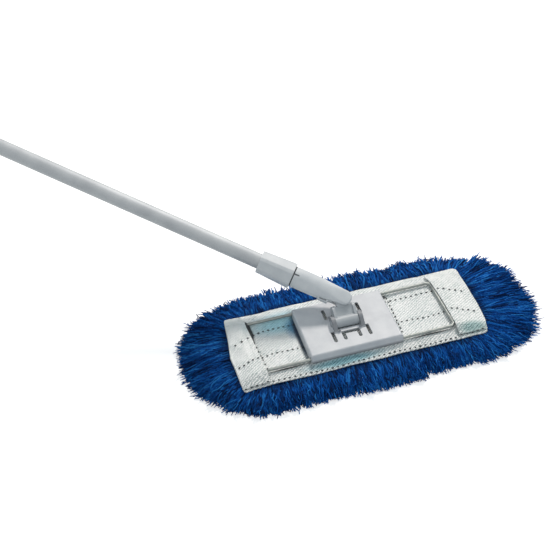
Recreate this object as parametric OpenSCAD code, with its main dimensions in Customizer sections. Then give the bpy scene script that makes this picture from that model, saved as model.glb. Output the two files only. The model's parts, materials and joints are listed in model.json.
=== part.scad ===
// Dust mop: a fringed yarn mop on a folding wire frame, with a two-way swivel joint,
// a clamping collar and a long tube handle.
// The mop stands on z = 0 with the joint over the origin. X runs along the mop and Y away from the front.
// The handle rests leaning back and to the left, against the stops of both hinges.

/* [Handle] */
// Outside diameter of the handle tube
tube_d = 25; // [22:0.5:26]
// Wall of the handle tube
tube_wall = 1.2; // [0.8:0.1:2]
// Length of the handle tube
tube_len = 1250; // [800:10:1400]
// Length of the end cap beyond the tube
cap_len = 38; // [32:1:50]
// Wall of the end cap round the tube
cap_wall = 1.6; // [1.2:0.1:2.5]
// Diameter of the hanging hole in the end cap
hang_hole_d = 9; // [6:0.5:11]

/* [Socket] */
// Wall of the socket round the tube
socket_wall = 4.5; // [3.5:0.1:5.5]
// Distance from the upper pin to the seat of the tube
seat_s = 48; // [45:0.5:56]
// Distance from the upper pin to the socket's shoulder under the collar
shoulder_s = 81; // [78:0.5:90]
// Distance from the upper pin to where the fork's taper reaches full width
neck_s = 45; // [40:0.5:50]
// Length of the slit fingers past the shoulder
finger_len = 38; // [30:1:44]
// Width of the slits between the fingers
slit_w = 2.4; // [1.5:0.1:3.5]
// Length of the slits below the shoulder
slit_below = 9; // [5:0.5:14]
// Distance from the upper pin to the lug under the neck
lug_s = 15; // [15:0.5:24]

/* [Collar] */
// Length of the collar
collar_len = 57; // [52:1:64]
// Wall of the collar over the fingers, at the flats of the socket end
collar_wall = 2.9; // [2.6:0.1:5]
// How much narrower the collar is across the flats at its handle end
collar_draft = 5.2; // [2:0.1:5.6]

/* [Joint] */
// Distance from the barrel's axis to the upper pin
post_len = 40; // [40:0.5:46]
// Lean of the swivel block from upright at its stop, in degrees
lean = 59; // [45:1:60]
// Swing of the handle from the post at its stop, in degrees
swing = 52; // [40:1:52]
// Height of the barrel's axis over the plate's top
barrel_rise = 2.8; // [2.5:0.1:5]
// Diameter of the barrel
barrel_d = 19; // [17:0.5:19]
// Length of the barrel between the ears
barrel_len = 37.5; // [35:0.5:38]
// Diameter of the barrel's trunnions
trunnion_d = 9.8; // [7:0.1:11]
// Thickness of the swivel block's tongue
tongue_t = 9; // [7:0.1:10]
// Radius of the tongue's round end
tongue_r = 9.5; // [8.5:0.1:9.5]
// Radius of the fork's round end
fork_r = 12; // [10:0.1:12]
// How far the fork's round end sits beyond the upper pin
fork_over = 7; // [0:0.5:7]
// Thickness of each tine of the fork
tine_t = 5.5; // [4.5:0.1:6.5]
// Diameter of the upper pin
pin_d = 6; // [5:0.1:7]
// Thickness of the swivel block's side rims
rim_t = 4.6; // [3.5:0.1:5]
// Half depth of the side rims
rim_half = 8; // [7:0.1:8]
// Thickness of the block's recessed web
web_t = 10; // [9.6:0.1:12]

/* [Centre plate] */
// Length of the centre plate along the mop
plate_len = 151.5; // [148:0.5:180]
// Width of the centre plate at the foot of its skirt
plate_wid = 114.6; // [114.6:0.1:122]
// Height of the plate's top over the canvas
plate_rise = 13.5; // [13:0.1:18]
// Slope of the skirt along the long sides, in degrees
skirt_slope = 18; // [8:1:20]
// Slope of the skirt at the ends, in degrees
end_slope = 6; // [2:1:12]
// Thickness of the plate's top
plate_t = 2.7; // [2:0.1:3.5]
// Thickness of the plate's skirt
skirt_t = 1.3; // [1:0.1:1.3]
// Radius of the plate's rounded top edge
edge_r = 3; // [2:0.1:4]
// Radius of the plate's corners
plate_corner_r = 5; // [4:0.5:8]
// Thickness of each ear
ear_t = 6.2; // [5:0.1:6.2]
// Radius of the ear round the trunnion
ear_r = 11.5; // [9:0.1:13]
// Half length of the ear's foot
ear_foot = 19; // [18:0.5:22]
// Width of the slots
slot_w = 5.6; // [4:0.1:5.6]
// Distance of the inner slots' middle line from the centre
inner_slot_x = 12.2; // [11:0.1:12.2]
// Distance of the outer slots' middle line from the centre
outer_slot_x = 28.5; // [28.5:0.1:32]
// Distance of the cross slots from the barrel's axis
cross_slot_y = 17.5; // [17:0.5:20]
// Width of the cross slots
cross_slot_w = 6; // [4:0.5:8]
// How far the slots reach from the centre
slot_reach = 36; // [32:0.5:38]
// Where the outer slots start
outer_slot_start = 14; // [10:0.5:16]
// Height of the stiffening ribs under the plate
rib_h = 3.5; // [2:0.1:4.5]
// Thickness of the stiffening ribs
rib_t = 1.6; // [1:0.1:2]

/* [Wire frame] */
// Diameter of the wire
wire_d = 5; // [4:0.1:5]
// Distance of the rails from the middle line
rail_y = 51.5; // [49.5:0.1:51.5]
// Distance of the fold axes inside the ends of the plate
hinge_inset = 13.75; // [12:0.25:16]
// Distance of the wire's end bar from the centre
wire_end_x = 163; // [160:0.5:166]
// Bend radius of the wire, on its middle line
wire_bend = 8; // [7.5:0.1:12]
// Largest fold of a wing, in degrees
fold_max = 60; // [30:1:60]
// Thickness of the pivot keepers under the wire
keeper_t = 1.5; // [1.2:0.1:2]
// Width of the pivot keepers
keeper_w = 14; // [12:0.5:16]
// Diameter of the keeper screws
screw_d = 3; // [2.5:0.1:3.5]
// Distance of the keeper screws from the straight end of the wire
screw_inset = 19; // [17:0.5:24]

/* [Mop] */
// Length of the canvas
canvas_len = 404; // [400:1:430]
// How far the mop sits to the right on its frame
mop_shift = 14; // [8:0.5:14]
// Width of the canvas
canvas_wid = 151; // [146:1:156]
// Thickness of the canvas
canvas_t = 2; // [1.5:0.1:3]
// Width of the turned hem on the long edges
hem_w = 16; // [10:0.5:17]
// Extra thickness of the turned hem
hem_t = 0.8; // [0.4:0.1:1.2]
// Corner radius of the canvas
canvas_r = 7; // [4:0.5:15]
// Depth of the left pocket
pocket_left_len = 43; // [38:0.5:60]
// Depth of the right pocket
pocket_right_len = 53; // [53:0.5:60]
// Thickness of the pocket's cloth
pocket_t = 1.5; // [1:0.1:2]
// Height of the yarn sole under the canvas
sole_h = 21.7; // [16:0.1:28]
// Length of the fringe at the left end
fringe_left = 80; // [50:1:120]
// Length of the fringe at the right end
fringe_right = 104; // [50:1:130]
// Length of the fringe along the front
fringe_front = 48; // [45:1:90]
// Length of the fringe along the back
fringe_back = 62; // [45:1:90]
// Width of one tuft of the fringe
tuft_w = 13; // [10:1:30]
// How much shorter the fringe is between two tufts
tuft_cut = 5; // [2:0.5:8]
// How much shorter the fringe is over the canvas corners
fringe_pinch = 16; // [0:1:20]
// Height of the fringe at its tips
fringe_tip_h = 5; // [3:0.5:8]
// Radius of the corners that the fringe is sewn round
fringe_root_r = 22; // [14:1:30]

/* [Hidden] */

// Clearances
soft_gap = 0.3;
body_gap = 0.4;
run_fit = 0.05;
press_fit = 0.02;
eps = 0.5;

// Heights above the floor
canvas_z = sole_h + soft_gap;
canvas_top = canvas_z + canvas_t;
keeper_z = canvas_top + soft_gap;
keeper_top = keeper_z + keeper_t;
wire_z = keeper_top + run_fit + wire_d / 2;
plate_top = canvas_top + plate_rise;
plate_under = plate_top - plate_t;
barrel_z = plate_top + barrel_rise;

// Where the wings fold, and the ends of the canvas and the mouths of its pockets
hinge_x = plate_len / 2 - hinge_inset;
function canvas_end(side) = canvas_len / 2 + side * mop_shift;
function pocket_mouth(side) = canvas_end(side) - (side < 0 ? pocket_left_len : pocket_right_len);

// Sizes of the joint
socket_d = tube_d + 2 * run_fit + 2 * socket_wall;
finger_d = socket_d - 1.4;
fork_gap = tongue_t + 2 * body_gap;
fork_half = fork_gap / 2 + tine_t;
fork_slot_s = 8;
rim_x = barrel_len / 2;
rim_in = rim_x - rim_t;
ear_in = rim_x + body_gap;
ear_out = ear_in + ear_t;
pin_head_d = 9.5;
pin_head_t = 1.4;
keeper_screw_y = rail_y - wire_bend - screw_inset;
blind_wall = 2;
ear_root = 1;

// Half of the opening in the plate that the leaning block needs, and where the rest ribs start and end
notch_half = rim_half * cos(lean) + (rim_half * sin(lean) - barrel_rise) * tan(lean) + body_gap / cos(lean);
rest_start = notch_half + 0.8;
rest_end = ear_foot - 0.8;

// Heights at which the rim's inner corner meets the neck of the socket on one side at full swing, less a gap,
// and the round end of the fork on the other
neck_slope = (socket_d / 2 - fork_r) / (neck_s + fork_over);
pin_half = fork_r + neck_slope * fork_over;
rim_drop = (pin_half + body_gap + neck_slope * rim_in * sin(swing) - rim_in * cos(swing))
    / (sin(swing) + neck_slope * cos(swing));
end_drop = fork_over * cos(swing) + sqrt(pow(fork_r + body_gap, 2) - pow(rim_in - fork_over * sin(swing), 2));
rim_top = post_len - max(rim_drop, end_drop);
web_top = rim_top - 0.5;

// Sizes of the collar, and the radius of its bore
collar_flats = socket_d + 2 * collar_wall;
collar_end_flats = collar_flats - collar_draft;
collar_gap = 0.8;
collar_s = shoulder_s + collar_gap;
collar_mouth_len = 6;
collar_mouth = 1.2;
collar_bore_len = finger_len + 1;
corner_trim = 1.075;
collar_turn = 26;
slit_turn = -4;

// Half of the opening between the mop's sections at a height, so that they clear at full fold
function fold_gap(z) = max(0, (wire_z - z) * tan(fold_max / 2)) + soft_gap;

// Height of the rim's underside over the plate at the stop, and the rest rib under it
function rest_z(y) = barrel_rise - rim_half / sin(lean) + y / tan(lean) - body_gap;

plastic_grey = "#C9CACE";
yarn_blue = "#0B3A8C";
canvas_white = "#E4E9E4";

// Everything in the block's frame has its Z along the post and the barrel's axis as X
module in_block() {
    translate([0, 0, barrel_z])
        rotate([-lean, 0, 0])
            children();
}

// Everything in the socket's frame has its Z along the handle and the upper pin as Y
module in_socket() {
    in_block()
        translate([0, 0, post_len])
            rotate([0, -swing, 0])
                children();
}

// A flat outline in X and Z given a thickness along Y
module slab_y(thick) {
    rotate([90, 0, 0])
        linear_extrude(thick, center = true)
            children();
}

// A flat outline in Y and Z given a thickness along X, starting at x
module slab_x(x, thick) {
    translate([x, 0, 0])
        rotate([90, 0, 90])
            linear_extrude(thick)
                children();
}

module round_rect(span, wid, r) {
    square([span - 2 * r, wid], center = true);
    square([span, wid - 2 * r], center = true);
    for (x = [-1, 1], y = [-1, 1])
        translate([x * (span / 2 - r), y * (wid / 2 - r)])
            circle(r = r, $fn = 64);
}

module handle_tube() {
    color("#B9BCC4")
        in_socket()
            translate([0, 0, seat_s])
                difference() {
                    cylinder(d = tube_d, h = tube_len, $fn = 96);
                    translate([0, 0, -eps])
                        cylinder(d = tube_d - 2 * tube_wall, h = tube_len + 2 * eps, $fn = 96);
                }
}

// A cap with a plug, a skirt over the tube and a flattened eye for hanging
module handle_cap() {
    skirt_len = 30;
    plug_len = 22;
    outer_r = tube_d / 2 + run_fit + cap_wall;
    eye_t = 11;
    eye_r = hang_hole_d / 2 + 4.5;
    full_len = 4;
    eye_start = 14;
    color("#8A8D94")
        in_socket()
            translate([0, 0, seat_s + tube_len])
                difference() {
                    union() {
                        translate([0, 0, -skirt_len])
                            cylinder(r = outer_r, h = skirt_len, $fn = 96);
                        intersection() {
                            cylinder(r1 = outer_r, r2 = eye_r + 1, h = cap_len, $fn = 96);
                            slab_y(2 * outer_r) {
                                translate([0, cap_len - eye_r])
                                    circle(r = eye_r, $fn = 96);
                                translate([-outer_r, 0])
                                    square([2 * outer_r, cap_len - eye_r]);
                            }
                            slab_x(-outer_r, 2 * outer_r)
                                polygon([
                                    [-outer_r, 0], [outer_r, 0], [outer_r, full_len], [eye_t / 2, eye_start],
                                    [eye_t / 2, cap_len], [-eye_t / 2, cap_len],
                                    [-eye_t / 2, eye_start], [-outer_r, full_len]
                                ]);
                        }
                    }
                    difference() {
                        translate([0, 0, -skirt_len - eps])
                            cylinder(r = tube_d / 2 + run_fit, h = skirt_len + eps, $fn = 96);
                        translate([0, 0, -plug_len])
                            cylinder(r = tube_d / 2 - tube_wall - run_fit, h = plug_len + eps, $fn = 96);
                    }
                    translate([0, 0, cap_len - eye_r])
                        rotate([90, 0, 0])
                            cylinder(d = hang_hole_d, h = 2 * outer_r + 2, center = true, $fn = 64);
                }
}

// A six-sided tapered nut that squeezes the socket's slit fingers onto the tube
module lock_collar() {
    hex_r1 = collar_flats / sqrt(3);
    hex_r2 = collar_end_flats / sqrt(3);
    color("#C4C6CB")
        in_socket()
            translate([0, 0, collar_s])
                difference() {
                    intersection() {
                        rotate([0, 0, collar_turn])
                            cylinder(r1 = hex_r1, r2 = hex_r2, h = collar_len, $fn = 6);
                        cylinder(
                            r1 = corner_trim * collar_flats / 2, r2 = corner_trim * collar_end_flats / 2,
                            h = collar_len, $fn = 96
                        );
                    }
                    translate([0, 0, -eps])
                        cylinder(d = finger_d + 2 * run_fit, h = collar_bore_len + eps, $fn = 96);
                    translate([0, 0, collar_bore_len - eps])
                        cylinder(d = tube_d + 2 * run_fit, h = collar_len, $fn = 96);
                    translate([0, 0, collar_len - collar_mouth_len])
                        cylinder(
                            r1 = tube_d / 2 + run_fit, r2 = tube_d / 2 + collar_mouth,
                            h = collar_mouth_len + 0.01, $fn = 96
                        );
                }
}

// The neck blends from the round socket to the flat fork
module neck() {
    edge = 2;
    bulge_s = 12;
    bulge_in = 1.2;
    hull() {
        translate([0, 0, neck_s])
            cylinder(d = socket_d, h = 1, $fn = 48);
        translate([0, 0, neck_s - bulge_s])
            cylinder(r = socket_d / 2 - bulge_in, h = 1, $fn = 48);
        translate([0, 0, -fork_over])
            rotate([90, 0, 0])
                cylinder(r = fork_r, h = 2 * fork_half - 2 * edge, center = true, $fn = 48);
        translate([0, 0, -fork_over])
            rotate([90, 0, 0])
                cylinder(r = fork_r - edge, h = 2 * fork_half, center = true, $fn = 48);
    }
}

module fork_slot() {
    slab_y(fork_gap) {
        circle(r = tongue_r + body_gap, $fn = 96);
        translate([-socket_d, -socket_d])
            square([2 * socket_d, socket_d + fork_slot_s]);
    }
}

// A lug with an eye on the underside of the neck, where the handle is locked upright for storing
module neck_lug() {
    lug_len = 17;
    lug_out = 4.8;
    lug_t = 8;
    lug_sink = 3.4;
    translate([-socket_d / 2 + lug_sink, 0, lug_s])
        difference() {
            translate([-lug_out, -lug_t / 2, 0])
                cube([lug_out + 5, lug_t, lug_len]);
            translate([-lug_out + 1.6, -lug_t / 2 - 1, 2.5])
                cube([3.4, lug_t + 2, lug_len - 5]);
        }
}

module handle_socket() {
    slits = 4;
    finger_taper = 0.8;
    straight_len = 0.7 * finger_len;
    relief_len = 14;
    relief_r = tube_d / 2 - 4;
    color(plastic_grey)
        in_socket()
            difference() {
                union() {
                    neck();
                    translate([0, 0, neck_s])
                        cylinder(d = socket_d, h = shoulder_s - neck_s, $fn = 96);
                    translate([0, 0, shoulder_s - eps])
                        cylinder(d = finger_d, h = straight_len + eps, $fn = 96);
                    translate([0, 0, shoulder_s + straight_len - 0.01])
                        cylinder(
                            d1 = finger_d, d2 = finger_d - 2 * finger_taper,
                            h = finger_len - straight_len, $fn = 96
                        );
                    neck_lug();
                }
                fork_slot();
                translate([0, 0, seat_s])
                    cylinder(r = tube_d / 2 + run_fit, h = shoulder_s + finger_len, $fn = 96);
                translate([0, 0, seat_s - relief_len])
                    cylinder(r = relief_r, h = relief_len + eps, $fn = 96);
                for (i = [0 : slits - 1])
                    rotate([0, 0, slit_turn + i * 360 / slits])
                        translate([0, -slit_w / 2, shoulder_s - slit_below])
                            cube([socket_d, slit_w, finger_len + slit_below + 1]);
                rotate([90, 0, 0]) {
                    translate([0, 0, -fork_half - eps])
                        cylinder(d = pin_d + 2 * press_fit, h = 2 * fork_half - blind_wall + eps, $fn = 64);
                    translate([0, 0, -socket_d])
                        cylinder(d = pin_head_d + 2 * body_gap, h = socket_d - fork_half, $fn = 64);
                }
            }
}

// The upper pin goes in from behind and stops before the front face of the fork
module upper_pin() {
    color("#A9ABAF")
        in_socket()
            rotate([90, 0, 0]) {
                translate([0, 0, -fork_half])
                    cylinder(d = pin_d, h = 2 * fork_half - blind_wall - 0.2, $fn = 64);
                translate([0, 0, -fork_half - pin_head_t])
                    cylinder(d = pin_head_d, h = pin_head_t, $fn = 64);
            }
}

// Barrel with trunnions, two side rims, a recessed web between them and the tongue of the upper hinge
module swivel_block() {
    color("#B5B6BA")
        in_block()
            difference() {
                union() {
                    rotate([0, 90, 0])
                        cylinder(d = barrel_d, h = barrel_len, center = true, $fn = 96);
                    rotate([0, 90, 0])
                        cylinder(d = trunnion_d, h = 2 * ear_out, center = true, $fn = 96);
                    for (side = [0, 1])
                        mirror([side, 0, 0])
                            slab_x(rim_in, rim_t) {
                                translate([0, rim_top - rim_half])
                                    circle(r = rim_half, $fn = 96);
                                translate([-rim_half, 0])
                                    square([2 * rim_half, rim_top - rim_half]);
                            }
                    difference() {
                        translate([-rim_in - eps, -web_t / 2, 0])
                            cube([2 * rim_in + 2 * eps, web_t, web_top]);
                        slab_y(web_t + 2)
                            translate([0, post_len])
                                circle(r = fork_r + fork_over + body_gap, $fn = 96);
                    }
                    slab_y(tongue_t) {
                        translate([0, post_len])
                            circle(r = tongue_r, $fn = 96);
                        translate([-tongue_r, 0])
                            square([2 * tongue_r, post_len]);
                    }
                }
                translate([0, 0, post_len])
                    rotate([90, 0, 0])
                        cylinder(d = pin_d + 2 * run_fit, h = barrel_d, center = true, $fn = 64);
            }
}

// Half of the middle distance between the rounded edges of a section that is wid wide at its foot
function edge_centre(wid, height, slope, r) =
    wid / 2 - r * cos(slope) - (height - r + r * sin(slope)) * tan(slope);

// A section with sloped sides and rounded top edges, wid wide at z = 0
module sloped_section(wid, height, slope, r) {
    centre = edge_centre(wid, height, slope, r);
    tangent = [centre + r * cos(slope), height - r + r * sin(slope)];
    polygon([
        [-wid / 2, 0], [wid / 2, 0], tangent, [centre, height - r], [centre, height],
        [-centre, height], [-centre, height - r], [-tangent[0], tangent[1]]
    ]);
    for (side = [-1, 1])
        translate([side * centre, height - r])
            circle(r = r, $fn = 96);
}

// A section with sloped sides and sharp edges, wid wide at z = 0 and reaching below it
module hollow_section(wid, height, slope) {
    below = 1;
    foot = wid / 2 + below * tan(slope);
    top = wid / 2 - height * tan(slope);
    polygon([[-foot, -below], [foot, -below], [top, height], [-top, height]]);
}

// The plate's outer form
module plate_form() {
    height = plate_top - keeper_z;
    margin = 0.2;
    translate([0, 0, keeper_z])
        intersection() {
            slab_x(-plate_len, 2 * plate_len)
                sloped_section(plate_wid, height, skirt_slope, edge_r);
            slab_y(2 * plate_wid)
                sloped_section(plate_len, height, end_slope, edge_r);
            linear_extrude(height + 1)
                round_rect(plate_len + 2 * margin, plate_wid + 2 * margin, plate_corner_r);
        }
}

// The hollow under the plate's top, inside its skirt
module plate_hollow() {
    height = plate_under - keeper_z;
    span = plate_len - 2 * skirt_t / cos(end_slope);
    wid = plate_wid - 2 * skirt_t / cos(skirt_slope);
    margin = 0.4;
    translate([0, 0, keeper_z])
        intersection() {
            slab_x(-plate_len, 2 * plate_len)
                hollow_section(wid, height, skirt_slope);
            slab_y(2 * plate_wid)
                hollow_section(span, height, end_slope);
            translate([0, 0, -1])
                linear_extrude(height + 2)
                    round_rect(span + margin, wid + margin, plate_corner_r - skirt_t);
        }
}

module slot(x, y0, y1) {
    translate([x - slot_w / 2, y0])
        square([slot_w, y1 - y0 - slot_w / 2]);
    translate([x, y1 - slot_w / 2])
        circle(d = slot_w, $fn = 48);
}

// The cut-out that lets the ears spring apart: a window under the barrel, an H-shaped slot on each side of it
// and four outer slots
module joint_cutout() {
    outer_extra = 1;
    square([2 * ear_in, 2 * notch_half], center = true);
    for (sx = [0, 1], sy = [0, 1])
        mirror([sx, 0, 0])
            mirror([0, sy, 0]) {
                translate([-inner_slot_x, cross_slot_y])
                    square([2 * inner_slot_x, cross_slot_w]);
                slot(inner_slot_x, cross_slot_y, slot_reach);
                slot(outer_slot_x, outer_slot_start, slot_reach + outer_extra);
            }
}

// An ear with its foot, and a rest rib on its inner face that stops the block's rim
module ear() {
    translate([0, 0, plate_top]) {
        slab_x(ear_in, ear_t) {
            translate([0, barrel_rise])
                circle(r = ear_r, $fn = 96);
            polygon([
                [-ear_foot, -ear_root], [ear_foot, -ear_root], [ear_foot, 1],
                [ear_r * 0.8, barrel_rise + ear_r * 0.6], [-ear_r * 0.8, barrel_rise + ear_r * 0.6],
                [-ear_foot, 1]
            ]);
        }
        for (sy = [0, 1])
            mirror([0, sy, 0])
                slab_x(inner_slot_x + slot_w / 2 + 0.5, ear_in - inner_slot_x - slot_w / 2)
                    polygon([
                        [rest_start, -ear_root], [rest_start, rest_z(rest_start)],
                        [rest_end, rest_z(rest_end)], [ear_foot, -ear_root]
                    ]);
    }
}

// The bearing of one wire end: a block under the plate with a slot open downward
module wire_bearing() {
    bearing_w = 11;
    bearing_start = 12;
    bearing_len = 10.6;
    bearing_y0 = rail_y - wire_bend - bearing_start;
    translate([hinge_x, 0, 0])
        difference() {
            translate([-bearing_w / 2, bearing_y0, keeper_top])
                cube([bearing_w, bearing_len, plate_under - keeper_top + eps]);
            translate([0, bearing_y0 - 1, wire_z])
                rotate([-90, 0, 0])
                    cylinder(d = wire_d + 2 * run_fit, h = bearing_len + 2, $fn = 64);
            translate([-wire_d / 2 - run_fit, bearing_y0 - 1, keeper_top - 1])
                cube([wire_d + 2 * run_fit, bearing_len + 2, wire_z - keeper_top + 1]);
        }
}

module plate_ribs() {
    rib_z = plate_under - rib_h;
    cross_shares = [0.31, 0.62];
    for (x = [-1, 1], k = cross_shares)
        translate([x * (outer_slot_x + k * (hinge_x - outer_slot_x)) - rib_t / 2, -rail_y + wire_d, rib_z])
            cube([rib_t, 2 * rail_y - 2 * wire_d, rib_h + eps]);
    for (y = [-1, 1])
        translate([-hinge_x + keeper_w, y * (slot_reach + 5) - rib_t / 2, rib_z])
            cube([2 * (hinge_x - keeper_w), rib_t, rib_h + eps]);
}

module centre_plate() {
    boss_d = 8;
    color(plastic_grey)
        difference() {
            union() {
                difference() {
                    plate_form();
                    plate_hollow();
                }
                for (side = [0, 1])
                    mirror([side, 0, 0]) {
                        ear();
                        for (sy = [0, 1])
                            mirror([0, sy, 0]) {
                                wire_bearing();
                                translate([hinge_x, keeper_screw_y, keeper_top])
                                    cylinder(d = boss_d, h = plate_under - keeper_top + eps, $fn = 48);
                            }
                    }
                plate_ribs();
            }
            translate([0, 0, keeper_z - 1])
                linear_extrude(plate_top - keeper_z + 1.01)
                    joint_cutout();
            translate([0, 0, barrel_z])
                rotate([0, 90, 0])
                    cylinder(d = trunnion_d + 2 * run_fit, h = 2 * ear_out + 2, center = true, $fn = 96);
            for (sx = [-1, 1], sy = [-1, 1]) {
                translate([sx * hinge_x, sy * keeper_screw_y, keeper_top - 1])
                    cylinder(d = screw_d + 2 * press_fit, h = plate_under - keeper_top + 1, $fn = 48);
                translate([sx * plate_len / 2 - wire_d, sy * rail_y - wire_d / 2 - body_gap, keeper_z - 1])
                    cube([2 * wire_d, wire_d + 2 * body_gap, wire_z + wire_d / 2 + soft_gap - keeper_z + 1]);
            }
        }
}

// A strip that closes the bearings of one wing from below
module keeper(side) {
    corner_r = 3;
    keeper_half = rail_y - wire_bend - 1.2;
    color("#9EA1A6")
        translate([side * hinge_x, 0, 0])
            difference() {
                translate([0, 0, keeper_z])
                    linear_extrude(keeper_t)
                        round_rect(keeper_w, 2 * keeper_half, corner_r);
                for (sy = [-1, 1])
                    translate([0, sy * keeper_screw_y, keeper_z - 0.01])
                        cylinder(
                            d1 = 2 * (screw_d + press_fit), d2 = screw_d + 2 * press_fit,
                            h = keeper_t + 0.02, $fn = 48
                        );
            }
}

module keeper_screws() {
    color("#8E9094")
        for (sx = [-1, 1], sy = [-1, 1])
            translate([sx * hinge_x, sy * keeper_screw_y, keeper_z]) {
                cylinder(d1 = 2 * screw_d, d2 = screw_d, h = keeper_t, $fn = 48);
                cylinder(d = screw_d, h = plate_under - keeper_z - 0.4, $fn = 48);
            }
}

// One quarter bend of the wire, from along -Y to along +X round its centre
module wire_corner() {
    rotate_extrude(angle = 90, $fn = 96)
        translate([wire_bend, 0])
            circle(d = wire_d, $fn = 48);
}

// One wing: two pivots, two rails and an end bar, bent from one wire
module wire_wing(side) {
    pivot_len = 12.5;
    start_x = hinge_x + wire_bend;
    end_x = wire_end_x - wire_bend;
    corner_y = rail_y - wire_bend;
    color("#A7A9AC")
        mirror([side < 0 ? 1 : 0, 0, 0])
            translate([0, 0, wire_z]) {
                for (sy = [0, 1])
                    mirror([0, sy, 0]) {
                        translate([hinge_x, corner_y - pivot_len, 0])
                            rotate([-90, 0, 0])
                                cylinder(d = wire_d, h = pivot_len, $fn = 48);
                        translate([start_x, corner_y, 0])
                            rotate([0, 0, 90])
                                wire_corner();
                        translate([start_x, rail_y, 0])
                            rotate([0, 90, 0])
                                cylinder(d = wire_d, h = end_x - start_x, $fn = 48);
                        translate([end_x, corner_y, 0])
                            wire_corner();
                    }
                translate([wire_end_x, -corner_y, 0])
                    rotate([-90, 0, 0])
                        cylinder(d = wire_d, h = 2 * corner_y, $fn = 48);
            }
}

module canvas_sheet() {
    translate([mop_shift, 0, canvas_z])
        linear_extrude(canvas_t)
            round_rect(canvas_len, canvas_wid, canvas_r);
}

// The turned hem on both long edges, between the pockets
module canvas_hems() {
    hem_gap = 1;
    hem_len = pocket_mouth(-1) + pocket_mouth(1) - 2 * hem_gap;
    for (sy = [0, 1])
        mirror([0, sy, 0])
            translate([hem_gap - pocket_mouth(-1), canvas_wid / 2 - hem_w, canvas_top - 0.01])
                cube([hem_len, hem_w, hem_t]);
}

module canvas_part(x0, x1) {
    color(canvas_white)
        intersection() {
            union() {
                canvas_sheet();
                canvas_hems();
            }
            translate([x0, -canvas_wid, 0])
                cube([x1 - x0, 2 * canvas_wid, 2 * canvas_top]);
        }
}

module canvas_centre() {
    half = hinge_x - fold_gap(canvas_z);
    canvas_part(-half, half);
}

module canvas_left() {
    canvas_part(-canvas_len, -hinge_x - fold_gap(canvas_z));
}

module canvas_right() {
    canvas_part(hinge_x + fold_gap(canvas_z), canvas_len);
}

// A cloth pocket sewn to the canvas on three sides and open towards the joint
module pocket(side) {
    end_x = canvas_end(side);
    mouth_x = pocket_mouth(side);
    half = canvas_wid / 2;
    roof_z = wire_z + wire_d / 2 + soft_gap;
    roof_half = rail_y + wire_d;
    roof_x = wire_end_x + wire_d;
    seam = 2.5;
    end_trim = 3;
    color("#EDF0EC")
        mirror([side < 0 ? 1 : 0, 0, 0])
            difference() {
                hull() {
                    translate([mouth_x, -half, canvas_top])
                        cube([end_x - mouth_x - end_trim, 2 * half, pocket_t]);
                    translate([mouth_x, -half + end_trim, canvas_top])
                        cube([end_x - mouth_x, 2 * half - 2 * end_trim, pocket_t]);
                    translate([mouth_x, -roof_half, canvas_top])
                        cube([roof_x - mouth_x, 2 * roof_half, roof_z + pocket_t - canvas_top]);
                }
                hull() {
                    translate([mouth_x - 1, -half + seam, canvas_top - 1])
                        cube([end_x - mouth_x - seam, 2 * half - 2 * seam, 1.05]);
                    translate([mouth_x - 1, -roof_half + 0.6, canvas_top - 1])
                        cube([roof_x - mouth_x + 0.4, 2 * roof_half - 1.2, roof_z - canvas_top + 1]);
                }
            }
}

// Yarn under the canvas, with sloped faces at the folds
module sole_form() {
    translate([mop_shift, 0, 0])
        linear_extrude(sole_h)
            round_rect(canvas_len - 2 * soft_gap, canvas_wid - 2 * soft_gap, fringe_root_r);
}

module sole_centre() {
    color(yarn_blue)
        intersection() {
            sole_form();
            slab_y(canvas_wid)
                polygon([
                    [-hinge_x + fold_gap(0), 0], [hinge_x - fold_gap(0), 0],
                    [hinge_x - fold_gap(sole_h), sole_h], [-hinge_x + fold_gap(sole_h), sole_h]
                ]);
        }
}

module sole_end(side) {
    color(yarn_blue)
        intersection() {
            sole_form();
            mirror([side < 0 ? 1 : 0, 0, 0])
                slab_y(canvas_wid)
                    polygon([
                        [hinge_x + fold_gap(0), 0], [canvas_len, 0],
                        [canvas_len, sole_h], [hinge_x + fold_gap(sole_h), sole_h]
                    ]);
        }
}

// The fringe is swept round the canvas. Each ring is a section of it: shares of its length and heights.
fringe_section = [
    [0, 0], [0, sole_h], [0.2, sole_h], [0.5, 0.9 * sole_h],
    [0.8, 0.58 * sole_h], [1, fringe_tip_h], [0.96, 0]
];

// Distance from a fold to the first station beyond it
first_step = 4;

// Length of the fringe where it points at an angle, shorter over the canvas corners
function fringe_len(a, side) =
    (cos(a) * cos(a)) * (side < 0 ? fringe_left : fringe_right)
    + (sin(a) * sin(a)) * (sin(a) < 0 ? fringe_front : fringe_back)
    - fringe_pinch * pow(sin(2 * a), 2);

// Stations along the canvas edge: x, y and the angle that the yarn points at
function edge_run(x0, x1, y, a) =
    let (n = max(2, round(abs(x1 - x0) / tuft_w * 2)))
    [for (i = [0 : n]) [x0 + (x1 - x0) * i / n, y, a]];

function edge_bend(cx, cy, a0, a1) =
    let (n = 8)
    [for (i = [1 : n - 1])
        let (a = a0 + (a1 - a0) * i / n)
        [cx + fringe_root_r * cos(a), cy + fringe_root_r * sin(a), a]];

function edge_end(x, y0, y1, a) =
    let (n = max(2, round(abs(y1 - y0) / tuft_w * 2)))
    [for (i = [0 : n]) [x, y0 + (y1 - y0) * i / n, a]];

// One ring of points: tufts stand out on every other station, and ends keep to the fold's slope
function fringe_ring(station, i, side, cut) =
    let (reach = fringe_len(station[2], side) - (i % 2 == 0 ? 0 : tuft_cut))
    [for (q = fringe_section)
        let (
            x = station[0] + q[0] * reach * cos(station[2]),
            y = station[1] + q[0] * reach * sin(station[2])
        )
        [cut == 0 ? x : cut * hinge_x + sign(station[0] - cut * hinge_x) * fold_gap(q[1]), y, q[1]]];

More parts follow.
